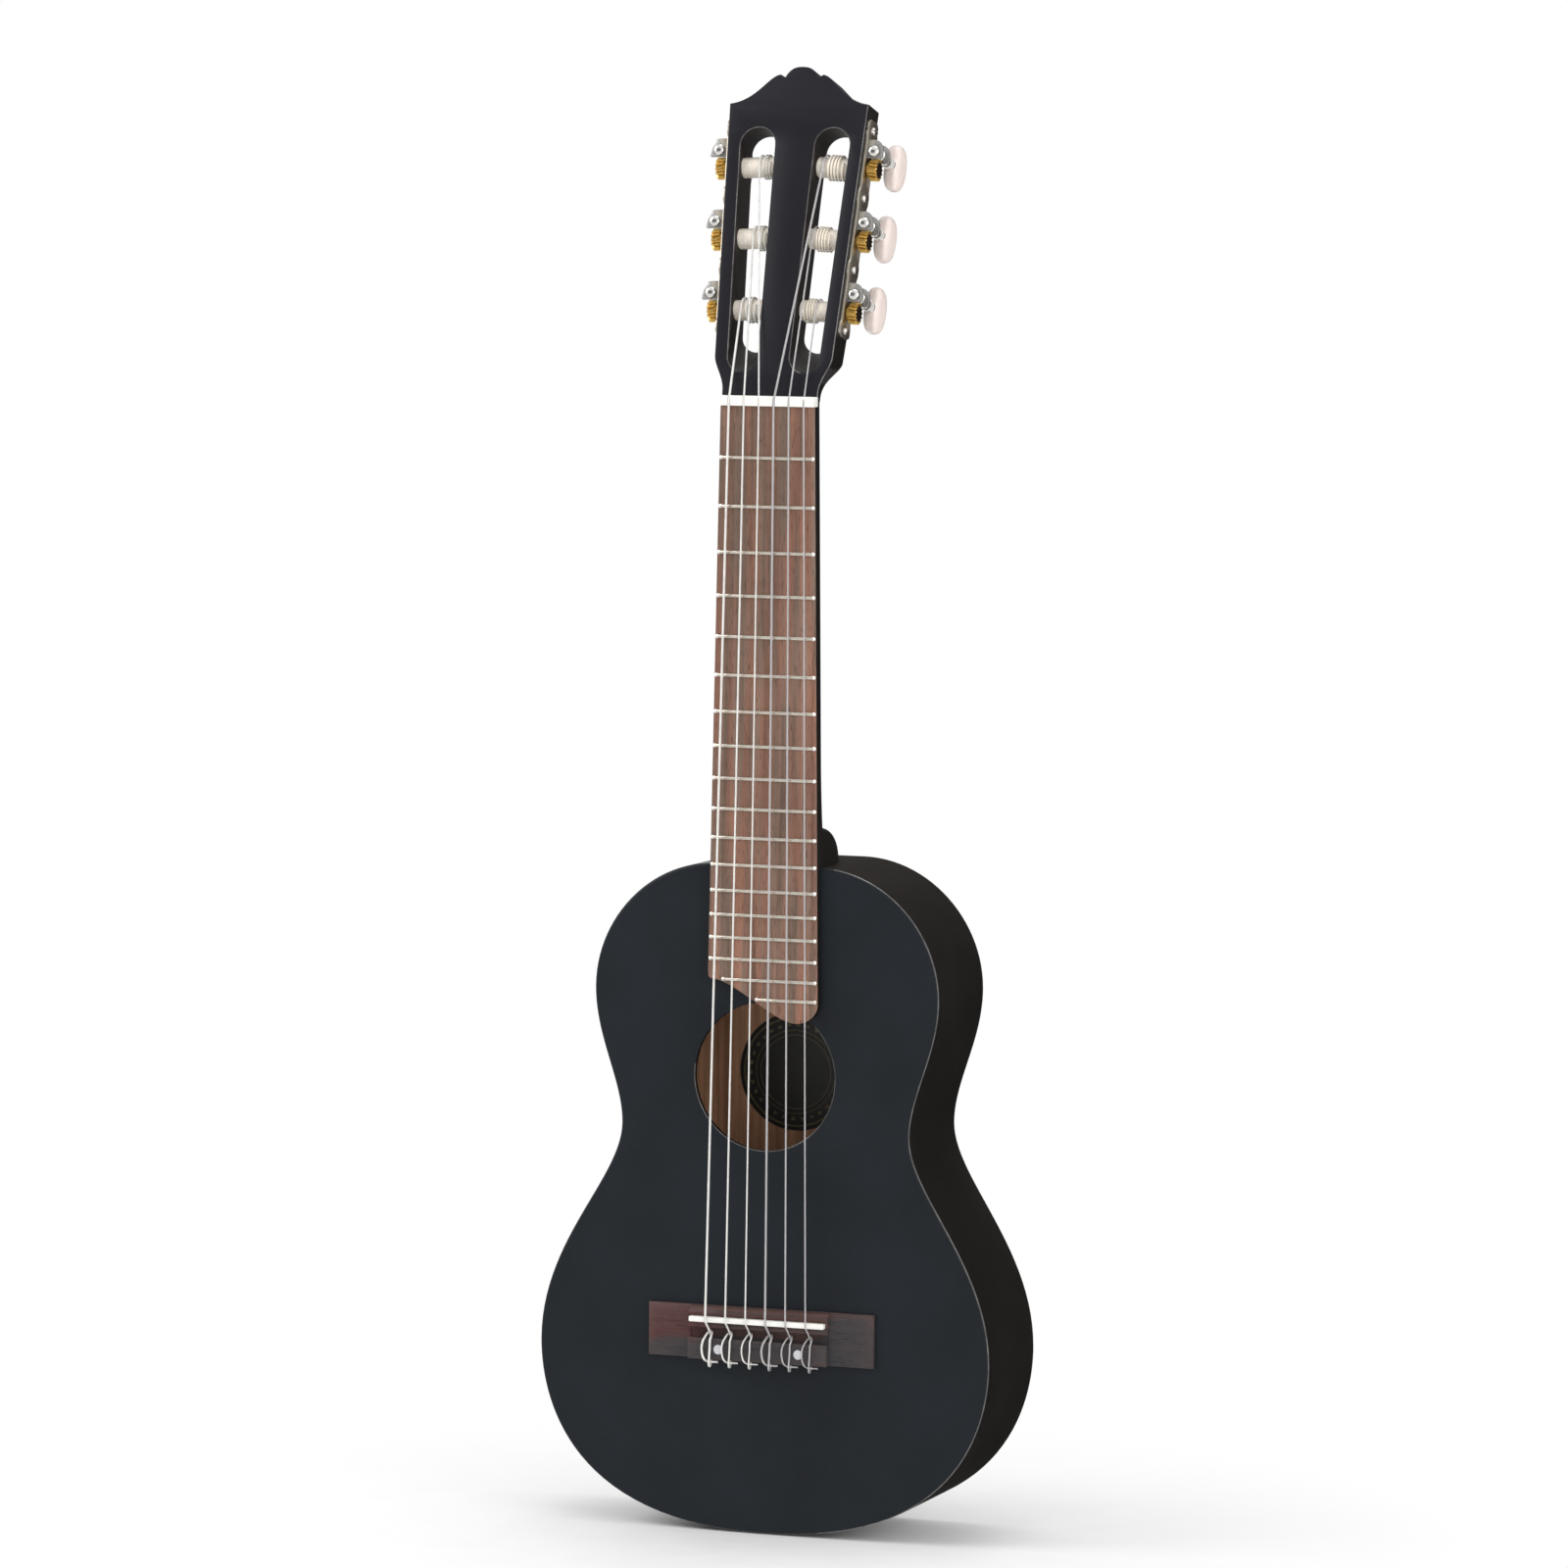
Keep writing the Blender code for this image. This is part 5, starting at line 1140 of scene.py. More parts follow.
def board_outline():
    bass_end, treble_end = -0.2692, -0.2812
    lowest = (0.0165, -0.2906)
    bass, treble, corner = board_half(bass_end), board_half(treble_end), 0.0035
    points = [(board_half(0), 0.0), (-board_half(0), 0.0)]
    points += [(-board_half(bass_end * i / 12), bass_end * i / 12) for i in range(1, 12)]
    points.append((-board_half(bass_end + corner), bass_end + corner / 2))
    points += bezier(points[-1], (-bass, bass_end - corner / 2),
                     (-bass + corner / 2, bass_end - corner / 2),
                     (-bass + corner, bass_end - corner / 2), 8)
    start = points[-1]
    points += bezier(start, (start[0] + 0.012, start[1] - 0.002),
                     (lowest[0] - 0.011, lowest[1] + 0.0006), lowest, 20)
    points += bezier(lowest, (lowest[0] + 0.0058, lowest[1]),
                     (treble, treble_end - 0.0052), (treble, treble_end), 14)
    points += [(board_half(treble_end * i / 12), treble_end * i / 12) for i in range(11, 0, -1)]
    return points


def fret_reach(z):
    """How far a fret runs to each side at a height, inside the board's outline."""
    outline = board_outline()
    crossings = []
    for (x0, z0), (x1, z1) in zip(outline, outline[1:] + outline[:1]):
        if (z0 - z) * (z1 - z) <= 0 and z0 != z1:
            crossings.append(x0 + (x1 - x0) * (z - z0) / (z1 - z0))
    return min(crossings), max(crossings)


def make_fingerboard():
    mesh = plate(rounded_rim(-BOARD_THICK, 0.0, board_outline(), 0.0005, 0.0, 3))
    item = add_piece("board", mesh, finish("rosewood"), "instrument", ["fingerboard"])
    second_finish(item, finish("black_side"), lambda centre, normal: abs(normal.y) < 0.4)
    section = arc((0, 0), 1.0, 0.0, math.pi, 8)
    half = FRET_WIDTH / 2
    rings = []
    for x, scale in ((-0.5, 0.25), (-0.492, 0.75), (-0.475, 1.0), (0.475, 1.0),
                     (0.492, 0.75), (0.5, 0.25)):
        seat = -BOARD_THICK + 0.0002
        rings.append([Vector((x, seat - (FRET_RISE + 0.0002) * max(s, 0) * scale,
                              half * c * (0.75 + 0.25 * scale))) for c, s in section])
    template = loft(rings)
    places, ends = [], []
    for number in range(1, FRETS + 1):
        z = fret_height(number)
        low = max(fret_reach(z + half)[0], fret_reach(z - half)[0]) + 0.0002
        high = min(fret_reach(z + half)[1], fret_reach(z - half)[1]) - 0.0002
        places.append(Matrix.Translation(((low + high) / 2, 0, z))
                      @ Matrix.Diagonal((high - low, 1, 1, 1)))
        ends += [Matrix.Translation((x, 0, z)) for x in (high - 0.0011, low + 0.0011)]
    mesh = spread(template, places, finish("fret_wire"))
    add_piece("frets", mesh, finish("fret_wire"), "instrument")
    # Round caps at the fret ends in a brighter copy of the fret metal: painted glints.
    ball = revolve([(x, z) for z, x in arc((0, 0), 0.00115, 0.0, math.pi, 12)], 20)
    ball.transform(Matrix.Translation((0, -BOARD_THICK - FRET_RISE + 0.0012, 0)))
    add_piece("fret_ends", spread(ball, ends, finish("fret_end_glint")), finish("fret_end_glint"),
              "instrument")


def make_nut():
    half = board_half(0)
    profile = [(-0.0001, 0.0001), (-NUT_TOP, 0.0001), (-NUT_TOP, NUT_CROWN),
               (-NUT_TOP + 0.00055, NUT_LENGTH), (-0.0001, NUT_LENGTH)]
    rings = [[Vector((x, y, z)) for y, z in profile] for x in (-half, half)]
    grooves = []
    for number in STRINGS:
        leaving = nut_leaving(number)
        towards = (roller_touch(number) - leaving).normalized()
        path = [leaving - Vector((0, 0, 0.008)), leaving, leaving + towards * 0.008]
        grooves.append(sweep(path, STRING_WIDTHS[number - 1] / 2 + 0.00015, 16))
    mesh = boolean(loft(rings), grooves)
    add_piece("nut_bone", rounded(mesh, 0.0002), finish("bone"), "instrument", ["nut"])


# Bridge

def string_at_saddle(number):
    return (3.5 - number) * SADDLE_PITCH


def make_bridge():
    half, flat = 0.0567, 0.0519
    corners = [(x, -y, z) for x in (-half, half) for z in (BRIDGE_REAR, BRIDGE_FRONT)
               for y in (0.0, 0.0022)]
    corners += [(x, -0.0036, z) for x in (-flat, flat)
                for z in (BRIDGE_REAR + 0.009, BRIDGE_FRONT - 0.005)]
    base = hull(corners)
    channel_front, channel_level = BRIDGE_FRONT - 0.0098, -0.0029
    profile = [(0.0, BRIDGE_FRONT - 0.0001), (-0.0036, BRIDGE_FRONT - 0.0001),
               (-0.0052, BRIDGE_FRONT - 0.0011), (-0.0066, BRIDGE_FRONT - 0.0030),
               (-0.0066, channel_front), (-0.0045, channel_front - 0.0008),
               (channel_level, channel_front - 0.0015), (channel_level, TIE_BLOCK_FRONT),
               (-TIE_BLOCK_HEIGHT, TIE_BLOCK_FRONT), (-TIE_BLOCK_HEIGHT, BRIDGE_REAR + 0.0002),
               (0.0, BRIDGE_REAR + 0.0002)]
    middle = loft([[Vector((x, y, z)) for y, z in profile] for x in (-0.035, 0.035)])
    hollow = block((-0.035, -TIE_BLOCK_HEIGHT, TIE_BLOCK_FRONT),
                   (0.035, channel_level, channel_front - 0.0015))
    base = boolean(boolean(base, [hollow]), [middle], "UNION")
    cutters = [block((-0.0342, -0.02, -SCALE - 0.00145), (0.0342, -0.0036, -SCALE + 0.00145))]
    for number in STRINGS:
        radius = STRING_WIDTHS[number - 1] / 2 + 0.0004
        bore = revolve([(0, BRIDGE_REAR - 0.01), (radius, BRIDGE_REAR - 0.01),
                        (radius, TIE_BLOCK_FRONT + 0.002), (0, TIE_BLOCK_FRONT + 0.002)], 16)
        cutters.append(moved(bore, Matrix.Translation(
            (string_at_saddle(number) + TIE_HOLE_SHIFT, -TIE_HOLE_HEIGHT, 0))))
    for x in dot_places():
        seat = revolve([(0, 0.005), (0.0024, 0.005), (0.0024, -0.0009), (0, -0.0009)], 40)
        cutters.append(moved(seat, dot_frame(x)))
    mesh = rounded(boolean(base, cutters), 0.0003)
    add_piece("bridge_body", mesh, finish("bridge_wood"), "instrument", ["bridge"])
    for name, x in zip(("treble", "bass"), dot_places()):
        profile = [(0, 0.0001), (0.0019, 0.0001), (0.0022, 0.0), (0.0023, -0.0001),
                   (0.0023, -0.0009), (0, -0.0009)]
        add_piece(f"dot_{name}", moved(revolve(profile, 40), dot_frame(x)), finish("pearl"),
                  "instrument", [f"bridge_dot_{name}"])
    saddle = block((-0.034, -SADDLE_TOP, -SCALE - SADDLE_HALF),
                   (0.034, -0.0037, -SCALE + SADDLE_HALF))
    add_piece("saddle_bone", rounded(saddle, 0.0006, 4), finish("bone"), "instrument",
              ["saddle"])


def dot_places():
    return [(string_at_saddle(n) + string_at_saddle(n + 1)) / 2 + 0.0005 for n in (1, 5)]


def dot_frame(x):
    return (Matrix.Translation((x, -TIE_BLOCK_HEIGHT, (BRIDGE_REAR + TIE_BLOCK_FRONT) / 2))
            @ Matrix.Rotation(math.radians(90.0), 4, "X"))


# Strings

# The tie's points, as the part has them: across from the string, along from the tie
# block's front edge, and out from the soundboard.
TIE = ((0.0052, -0.0112, 0.0062), (0.0026, -0.0112, 0.0068), (0.0002, -0.0110, 0.0074),
       (-0.0010, -0.0096, 0.0088), (-0.0020, -0.0070, 0.0086), (-0.0022, -0.0040, 0.0086),
       (-0.0016, -0.0012, 0.0086), (-0.0010, 0.0004, 0.0078), (-0.0004, 0.0022, 0.0054),
       (0.0006, 0.0031, 0.0041), (0.0017, 0.0025, 0.0052), (0.0022, 0.0012, 0.0074),
       (0.0020, -0.0006, 0.0086), (0.0018, -0.0050, 0.0085), (0.0016, -0.0098, 0.0088),
       (0.0015, -0.0118, 0.0088), (0.0013, -0.0131, 0.0078), (0.0012, -0.0134, 0.0062),
       (0.0010, -0.0128, 0.0050), (0.0010, -0.0112, 0.0044))


def nut_leaving(number):
    height = BOARD_THICK + FRET_RISE + 0.0004 + STRING_WIDTHS[number - 1] / 2
    return Vector(((3.5 - number) * NUT_PITCH, -height, NUT_CROWN))


def string_lane(number):
    """Where the string meets its roller, from the head's side."""
    return WINDING_PLACES[number - 1] - head_half(roller_level(number))


def winding_radius(number):
    return ROLLER_RADIUS + 0.00035 + STRING_WIDTHS[number - 1] / 2


def roller_touch(number, beyond=0.0):
    """Where a string meets its roller, or lies on it an angle further round."""
    side = string_side(number)
    place = side_frame(side)
    start = place.inverted() @ nut_leaving(number)
    centre = Vector((up_side(roller_level(number)), -ROLLER_DEPTH))
    radius = winding_radius(number)
    reach = centre - Vector((start.y, start.z))
    angle = beyond - math.atan2(reach.y, reach.x) - math.asin(radius / reach.length)
    return place @ Vector((side * string_lane(number), centre.x + radius * math.sin(angle),
                           centre.y + radius * math.cos(angle)))


def string_route(number):
    """The whole string, from the tail of its tie to the turns on its roller."""
    x = string_at_saddle(number)
    hole_x = x + TIE_HOLE_SHIFT
    over = SADDLE_TOP + 0.0001 + STRING_WIDTHS[number - 1] / 2
    tie = [(x + across, -out, TIE_BLOCK_FRONT + along) for across, along, out in TIE]
    tie += [(hole_x, -TIE_HOLE_HEIGHT, BRIDGE_REAR),
            (hole_x, -TIE_HOLE_HEIGHT, TIE_BLOCK_FRONT + 0.0003),
            (x, -over + 0.0003, -SCALE - 0.0010), (x, -over, -SCALE - 0.0002),
            (x, -over, -SCALE + 0.0008)]
    leaving = nut_leaving(number)
    route = smooth_route(tie) + [Vector((leaving.x, leaving.y, 0.0003)), leaving]
    return route + [roller_touch(number, math.radians(100.0) * i / 24) for i in range(25)]


def winding_route(number):
    """Turns on the roller, then a bend into its hole, out at the far side."""
    turns, direction = WINDING_TURNS[number - 1], WINDING_DIRECTIONS[number - 1]
    pitch, radius = STRING_WIDTHS[number - 1] + WINDING_GAP, winding_radius(number)

    def place(done):
        steep = max(0.0, done - turns + 0.5)
        return string_lane(number) + direction * pitch * (1 + done + steep)

    steps = int(turns * 40)
    points = []
    for i in range(steps + 1):
        done = turns * i / steps
        angle = 2 * math.pi * (done - turns)
        points.append((place(done), radius * math.sin(angle), radius * math.cos(angle)))
    for across, out in arc((0, radius - WINDING_BEND), WINDING_BEND, math.pi / 2, 0.0, 8)[1:]:
        points.append((place(turns), across, out))
    return points + [(place(turns), WINDING_BEND, 0.0),
                     (place(turns), WINDING_BEND, -(ROLLER_RADIUS + WINDING_END))]


def make_strings():
    for number in STRINGS:
        kind, look = ("bass", "bass") if number > 3 else ("treble", "nylon")
        radius = STRING_WIDTHS[number - 1] / 2
        add_piece(f"string_line_{number}", sweep(string_route(number), radius, 14),
                  finish(look), "instrument", [f"string_{number}"], 70.0)
        turns = moved(sweep(winding_route(number), radius, 12), tuner_place(number))
        add_piece(f"string_turns_{number}", turns, finish(f"{look}_turns"), f"spool_{number}",
                  [f"winding_{number}"], 70.0)


# Tuners

def make_rollers():
    bare, groove, shoulder, pin = ROLLER_RADIUS, ROLLER_RADIUS - 0.00006, 0.0044, 0.0024
    for number in STRINGS:
        inner, outer = roller_span(number)
        top, low = -0.0003, inner + 0.0003
        profile = [(0, 0.0058), (pin, 0.0058), (pin, top), (shoulder, top), (bare, top - 0.0005)]
        for i in range(int((top - low - 0.002) / 0.0011)):
            z = top - 0.001 - i * 0.0011
            profile += [(bare, z), (groove, z - 0.00015), (bare, z - 0.0003)]
        profile += [(bare, low + 0.0005), (shoulder, low), (ROLLER_CORE, low),
                    (ROLLER_CORE, inner - 0.005), (0, inner - 0.005)]
        place = tuner_place(number)
        item = add_piece(f"roller_barrel_{number}", moved(revolve(profile, 40), place @ TURN_TO_X),
                         finish("roller"), f"spool_{number}", [f"roller_{number}"])
        # The roller's end inside the gear is near-black: painted shade.
        second_finish(item, finish("painted_recess_shade"),
                      lambda centre, normal, back=place.inverted(): (back @ centre).x > 0.0002)


def gear_mesh():
    """A wheel with slanted teeth, a long collar and a sunk bore in its end, drawn about Z."""
    tip, root = GEAR_RADIUS + TOOTH_RISE, GEAR_RADIUS - 0.00073
    step = 2 * math.pi / GEAR_TEETH
    slant = THREAD_PITCH / (2 * math.pi * WORM_RADIUS) / GEAR_RADIUS
    flank = ((-0.36, 0.0), (-0.29, 0.02), (-0.20, 0.45), (-0.14, 0.85), (-0.09, 1.0),
             (0.0, 1.0), (0.09, 1.0), (0.14, 0.85), (0.20, 0.45), (0.29, 0.02), (0.36, 0.0))
    rings = []
    for z, shrink in ((-0.002, 0.0003), (-0.0017, 0.0), (-0.0009, 0.0), (0.0, 0.0),
                      (0.0009, 0.0), (0.0017, 0.0), (0.002, 0.0003)):
        ring = []
        for tooth in range(GEAR_TEETH):
            for share, rise in flank:
                angle = (tooth + share) * step + slant * z
                radius = root + (tip - root) * rise - shrink
                ring.append(Vector((radius * math.cos(angle), radius * math.sin(angle), z)))
        rings.append(ring)
    collar = revolve([(0, -0.0018), (0.0038, -0.0018), (0.0038, -0.0025), (0.0036, -0.0026),
                      (0.0036, -0.0027), (0.0038, -0.0028), (0.0038, -0.0031),
                      (0.0036, -0.0033), (0, -0.0033)], 40)
    sunk = revolve([(0, 0.01), (0.0031, 0.01), (0.0031, 0.0021), (0.0029, 0.0013),
                    (0.0026, 0.0011), (0, 0.0011)], 40)
    return boolean(boolean(loft(rings), [collar], "UNION"), [sunk])


def screw_head(radius, rise):
    """A low domed screw with a plain slot, seated at height 0 and facing +Z."""
    profile = [(0, rise)] + [(radius * math.sin(a), rise * math.cos(a) ** 0.8)
                             for a in (0.3, 0.6, 0.9, 1.15, 1.35, 1.5)]
    profile += [(radius, -rise * 0.2), (0, -rise * 0.2)]
    dome = revolve(profile, 28)
    slot = block((-radius * 1.2, -radius * 0.14, rise * 0.45),
                 (radius * 1.2, radius * 0.14, rise * 2))
    return boolean(dome, [slot])


def make_gears():
    for number in STRINGS:
        place = tuner_place(number, GEAR_PLANE)
        item = add_piece(f"gear_wheel_{number}", moved(gear_mesh(), place @ DRAWN_UP),
                         finish("brass"), f"spool_{number}", [f"tuner_gear_{number}"])

        # The gear's sunk bore and its screw are near-black: painted shade in the recess.
        def in_bore(centre, normal, back=place.inverted()):
            spot = back @ centre
            return spot.x > 0.0010 and math.hypot(spot.y, spot.z) < 0.00305
        second_finish(item, finish("painted_recess_shade"), in_bore)
        seat = place @ DRAWN_UP @ Matrix.Translation((0, 0, 0.0012))
        add_piece(f"gear_screw_{number}", moved(screw_head(0.0023, 0.0005), seat),
                  finish("painted_recess_shade"), f"spool_{number}")


def worm_thread():
    """The thread as one closed helical bar about Z, run out at both ends."""
    lead, turns, steps = THREAD_PITCH, THREAD_TURNS, 36
    core, crest = WORM_RADIUS - 0.00107, WORM_RADIUS + TOOTH_RISE
    section = ((crest - 0.0001, 0.5), (crest, 0.32), (crest, -0.32), (crest - 0.0001, -0.5),
               (core, -1.0), (core, 1.0))
    rings = []
    count = int(turns * steps)
    for i in range(count + 1):
        angle = 2 * math.pi * turns * i / count
        fade = min(1.0, i / 8, (count - i) / 8)
        ring = []
        for radius, share in section:
            radius = core + (radius - core) * (0.25 + 0.75 * fade)
            height = lead * turns * (i / count - 0.5) + share * lead * 0.28 * (0.5 + 0.5 * fade)
            ring.append(Vector((radius * math.cos(angle), radius * math.sin(angle), height)))
        rings.append(ring)
    return loft(rings)


def make_worms():
    ear = EAR_OFFSET + EAR_THICK
    root = WORM_RADIUS - 0.00077
    front = ear + 0.0015
    back = -(ear + STEM_LENGTH + 0.006)
    dome = [(0, front), (0.0009, front - 0.00003), (0.0017, front - 0.00014),
            (0.0022, front - 0.00032), (0.0025, front - 0.0006), (0.0027, front - 0.0010),
            (0.0027, ear + 0.0003)]
    rings = []
    for start, size in ((-ear - 0.0003, 0.0026), (-ear - 0.0025, 0.0022),
                        (-ear - 0.0044, 0.0026), (-ear - 0.0080, 0.0030)):
        rings += [(0.0016, start), (size * 0.86, start - 0.0001), (size, start - 0.0006),
                  (size, start - 0.0012), (size * 0.86, start - 0.0017), (0.0016, start - 0.0018)]
    profile = dome + [(0.0017, ear + 0.0003), (0.0017, EAR_OFFSET - 0.0003),
                      (root, EAR_OFFSET - 0.0003), (root, -EAR_OFFSET + 0.0003),
                      (0.0017, -EAR_OFFSET + 0.0003), (0.0017, -ear - 0.0003)]
    profile += rings + [(0.0016, back), (0, back)]
    phase = Matrix.Rotation(math.pi / 2 - math.pi * THREAD_TURNS, 4, "Z")
    for number in STRINGS:
        spindle = boolean(revolve(profile, 36), [moved(worm_thread(), phase)], "UNION")
        place = tuner_place(number, GEAR_PLANE, WORM_OFFSET)
        add_piece(f"worm_screw_{number}", moved(spindle, place), finish("bright_nickel"),
                  f"knob_{number}", [f"worm_{number}"])


def make_buttons():
    """Buttons that are oval from the side and nearly square in section, with soft corners."""
    stem_end = EAR_OFFSET + EAR_THICK + STEM_LENGTH
    wide, high, deep = (size / 2 for size in BUTTON_SIZE)
    steps, around = 34, 56
    for number in STRINGS:
        rings = []
        for i in range(1, steps):
            level = -math.cos(math.pi * i / steps)
            share = (1 - abs(level) ** BUTTON_CURVE) ** (1 / BUTTON_CURVE)
            section = (squared_off(2 * math.pi * k / around, BUTTON_SQUARENESS)
                       for k in range(around))
            rings.append([Vector((wide * share ** 0.8 * x, high * level, deep * share * z))
                          for x, z in section])
        place = tuner_place(number, GEAR_PLANE, WORM_OFFSET)
        seat = place @ Matrix.Translation((0, 0, -stem_end - deep))
        add_piece(f"button_oval_{number}", moved(loft(rings), seat), finish("button"),
                  f"knob_{number}", [f"button_{number}"])
        collar = revolve([(0, 0.0024), (0.0021, 0.0024), (0.0027, 0.0016), (0.0029, 0.0006),
                          (0.0027, -0.0004), (0.0024, -0.0010), (0, -0.0010)], 32)
        seat = place @ Matrix.Translation((0, 0, -stem_end + 0.0002))
        add_piece(f"button_ferrule_{number}", moved(collar, seat), finish("bright_nickel"),
                  f"knob_{number}")


def plate_half_width(y):
    """Half the plate's width at a height: it swells around each screw."""
    width = 0.00565
    for level in SCREW_LEVELS:
        width += 0.00113 * smooth_step(0.0046 - abs(y - up_side(level)), 0.0030)
    return width


def plate_outline():
    """Outline of a side plate, with scallops at its top end and a round lower end."""
    low, high = (up_side(end) for end in PLATE_ENDS)
    scallops, count = 0.0062, 190
    edge = []
    for i in range(count + 1):
        y = low + (high - low) * i / count
        width = plate_half_width(y)
        if high - y < scallops:
            width -= 0.0009 * math.sin((high - y) / scallops * 3 * math.pi) ** 2
        end = min((y - low) / 0.0022, (high - y) / 0.0011)
        if end < 1:
            width = 0.0032 + (width - 0.0032) * math.sqrt(max(0.0, 1 - (1 - end) ** 2))
        edge.append((width, y))
    return edge + [(-x, y) for x, y in reversed(edge)]


def ear_outline(up):
    """A bearing ear: flat below, rounded up and over the worm's axis."""
    reach, rise, drop = 0.0046, 0.0056, 0.0033
    shape = [(0.0009, up - drop), (GEAR_PLANE + reach - 0.0007, up - drop),
             (GEAR_PLANE + reach, up - drop + 0.0007)]
    shape += [(GEAR_PLANE + reach * x, up + rise * y)
              for x, y in arc((0, 0), 1.0, 0.0, math.pi / 2, 18)]
    return shape + [(0.0009, up + rise)]


def make_plates():
    outline = plate_outline()
    for name, side in (("treble", 1), ("bass", -1)):
        strip = plate(rounded_rim(-PLATE_THICK, -0.0001, outline, 0.0002, 0.0, 2))
        # Drawn with depth along Y and width along X: now Y is out and X runs to the back.
        strip.transform(axes((0, -1, 0), (0, 0, 1), (-1, 0, 0)))
        ears, bores = [], []
        for level in ROLLER_LEVELS:
            up = up_side(level) + WORM_OFFSET
            hole = circle((GEAR_PLANE, up), 0.002, 24)
            for near in (EAR_OFFSET, -EAR_OFFSET - EAR_THICK):
                ear = plate(rounded_rim(near, near + EAR_THICK, ear_outline(up), 0.00025,
                                        0.00025, 2), [[(near, hole), (near + EAR_THICK, hole)]])
                ear.transform(axes((1, 0, 0), (0, 0, 1), (0, 1, 0)))
                ears.append(tidy(ear))
            bore = revolve([(0, 0.01), (0.0027, 0.01), (0.0027, -0.01), (0, -0.01)], 28)
            bores.append(moved(bore, Matrix.Translation((0, up_side(level), 0)) @ TURN_TO_X))
        strip = boolean(boolean(tidy(strip), ears, "UNION"), bores)
        place = side_place(side)
        item = add_piece(f"tuner_strip_{name}", moved(strip, place), finish("dull_nickel"),
                         "instrument", [f"tuner_plate_{name}"])
        second_finish(item, finish("nickel"),
                      lambda centre, normal, back=place.inverted(): (back @ centre).x > 0.0017)
        screws = [side_frame(side)
                  @ Matrix.Translation((side * PLATE_THICK, up_side(level), -ROLLER_DEPTH))
                  @ Matrix.Rotation(math.radians(side * 90.0), 4, "Y")
                  @ Matrix.Rotation(0.7 * order + side, 4, "Z")
                  for order, level in enumerate(SCREW_LEVELS)]
        mesh = spread(screw_head(0.0019, 0.0012), screws, finish("bright_nickel"))
        add_piece(f"plate_screws_{name}", mesh, finish("bright_nickel"), "instrument")


# Studio

CAMERA_PLACE = (1.23109, -3.34021, 0.12120)
CAMERA_RIGHT = (0.938762, 0.344444, 0.009162)
CAMERA_UP = (-0.037408, 0.075448, 0.996448)
CAMERA_LENS = 174.08


def aimed(place, target, forward="-Z"):
    """A place turned towards a target."""
    aim = (Vector(target) - Vector(place)).to_track_quat(forward, "Y")
    return Matrix.Translation(place) @ aim.to_matrix().to_4x4()


def make_stage():
    look = bpy.context.scene.guitalele_look
    make_camera()
    floor = new_object("floor", sheet("floor", Matrix.Translation(
        (0, 0, BODY_BOTTOM - 0.0002)) @ Matrix.Scale(look.floor_size, 4)))
    floor.data.materials.append(floor_finish())
    floor.visible_glossy = False
    make_background(look.room_light)
    upright = Matrix.Rotation(math.radians(90), 4, "X")
    make_flag("flag_behind", Matrix.Translation((0.5, 1.5, -0.85)) @ upright, (2.2, 1.7),
              (0.020, 0.019, 0.018))
    make_flag("flag_above", Matrix.Translation((0.5, 1.5, 0.4)) @ upright, (2.2, 0.8),
              (0.075, 0.064, 0.056))
    make_flag("flag_in_front", aimed((-0.72, -1.80, 0.95), (0, 0, 0.1), "Z"), (1.1, 0.8),
              (0.16, 0.16, 0.16))
    for name, place, target, size, power in (
            ("key_light", (-2.3, -1.1, 1.5), (0, 0, -0.2), 1.5, look.key_power),
            ("fill_light", (2.3, -1.5, 0.6), (0, 0, -0.2), 1.6, look.fill_power),
            ("top_light", (0.2, 0.2, 2.2), (0, 0, -0.1), 1.4, look.top_power)):
        lamp = new_object(name, bpy.data.lights.new(name, "AREA"))
        lamp.data.shape = "SQUARE"
        lamp.data.size = size
        lamp.data.energy = power
        lamp.matrix_world = aimed(place, target)
    bpy.context.scene.view_settings.view_transform = "Standard"


def make_camera():
    camera = new_object("camera", bpy.data.cameras.new("camera"))
    camera.data.lens = CAMERA_LENS
    camera.data.sensor_width = 36.0
    camera.data.clip_end = 60.0
    right, up = Vector(CAMERA_RIGHT).normalized(), Vector(CAMERA_UP).normalized()
    back = right.cross(up).normalized()
    turn = Matrix((right, back.cross(right), back)).transposed().to_4x4()
    camera.matrix_world = Matrix.Translation(CAMERA_PLACE) @ turn
    bpy.context.scene.camera = camera


def make_background(strength):
    """Soft light from all round, and plain white where the camera or a reflection looks."""
    world = bpy.data.worlds.new("studio")
    bpy.context.scene.world = world
    world.use_nodes = True
    tree = world.node_tree
    tree.nodes.clear()
    ray = add_node(tree, "ShaderNodeLightPath").outputs
    mirrored = add_node(tree, "ShaderNodeMath", {0: ray["Is Camera Ray"], 1: ray["Is Glossy Ray"]},
                        operation="MAXIMUM")
    clear = add_node(tree, "ShaderNodeMath", {0: mirrored.outputs[0],
                                              1: ray["Is Transmission Ray"]}, operation="MAXIMUM")
    soft, backdrop = (add_node(tree, "ShaderNodeBackground", {"Color": WHITE, "Strength": power})
                      for power in (strength, 1.0))
    pick = add_node(tree, "ShaderNodeMixShader", {
        0: clear.outputs[0], 1: soft.outputs["Background"], 2: backdrop.outputs["Background"]})
    add_node(tree, "ShaderNodeOutputWorld", {"Surface": pick.outputs["Shader"]})


def make_flag(name, place, size, color):
    """A plain card that only reflections see; it keeps lacquer and plating from burning out."""
    card = new_object(name, sheet(name, Matrix.Diagonal((*size, 1, 1))))
    card.matrix_world = place
    cloth = Finish(name, color, 0.9)
    cloth.bump(cloth.noise(300.0, 2.0), 0.001, 0.4)
    cloth.set("Specular IOR Level", 0.0)
    card.data.materials.append(cloth.material)
    for ray in ("camera", "diffuse", "transmission", "volume_scatter", "shadow"):
        setattr(card, f"visible_{ray}", False)


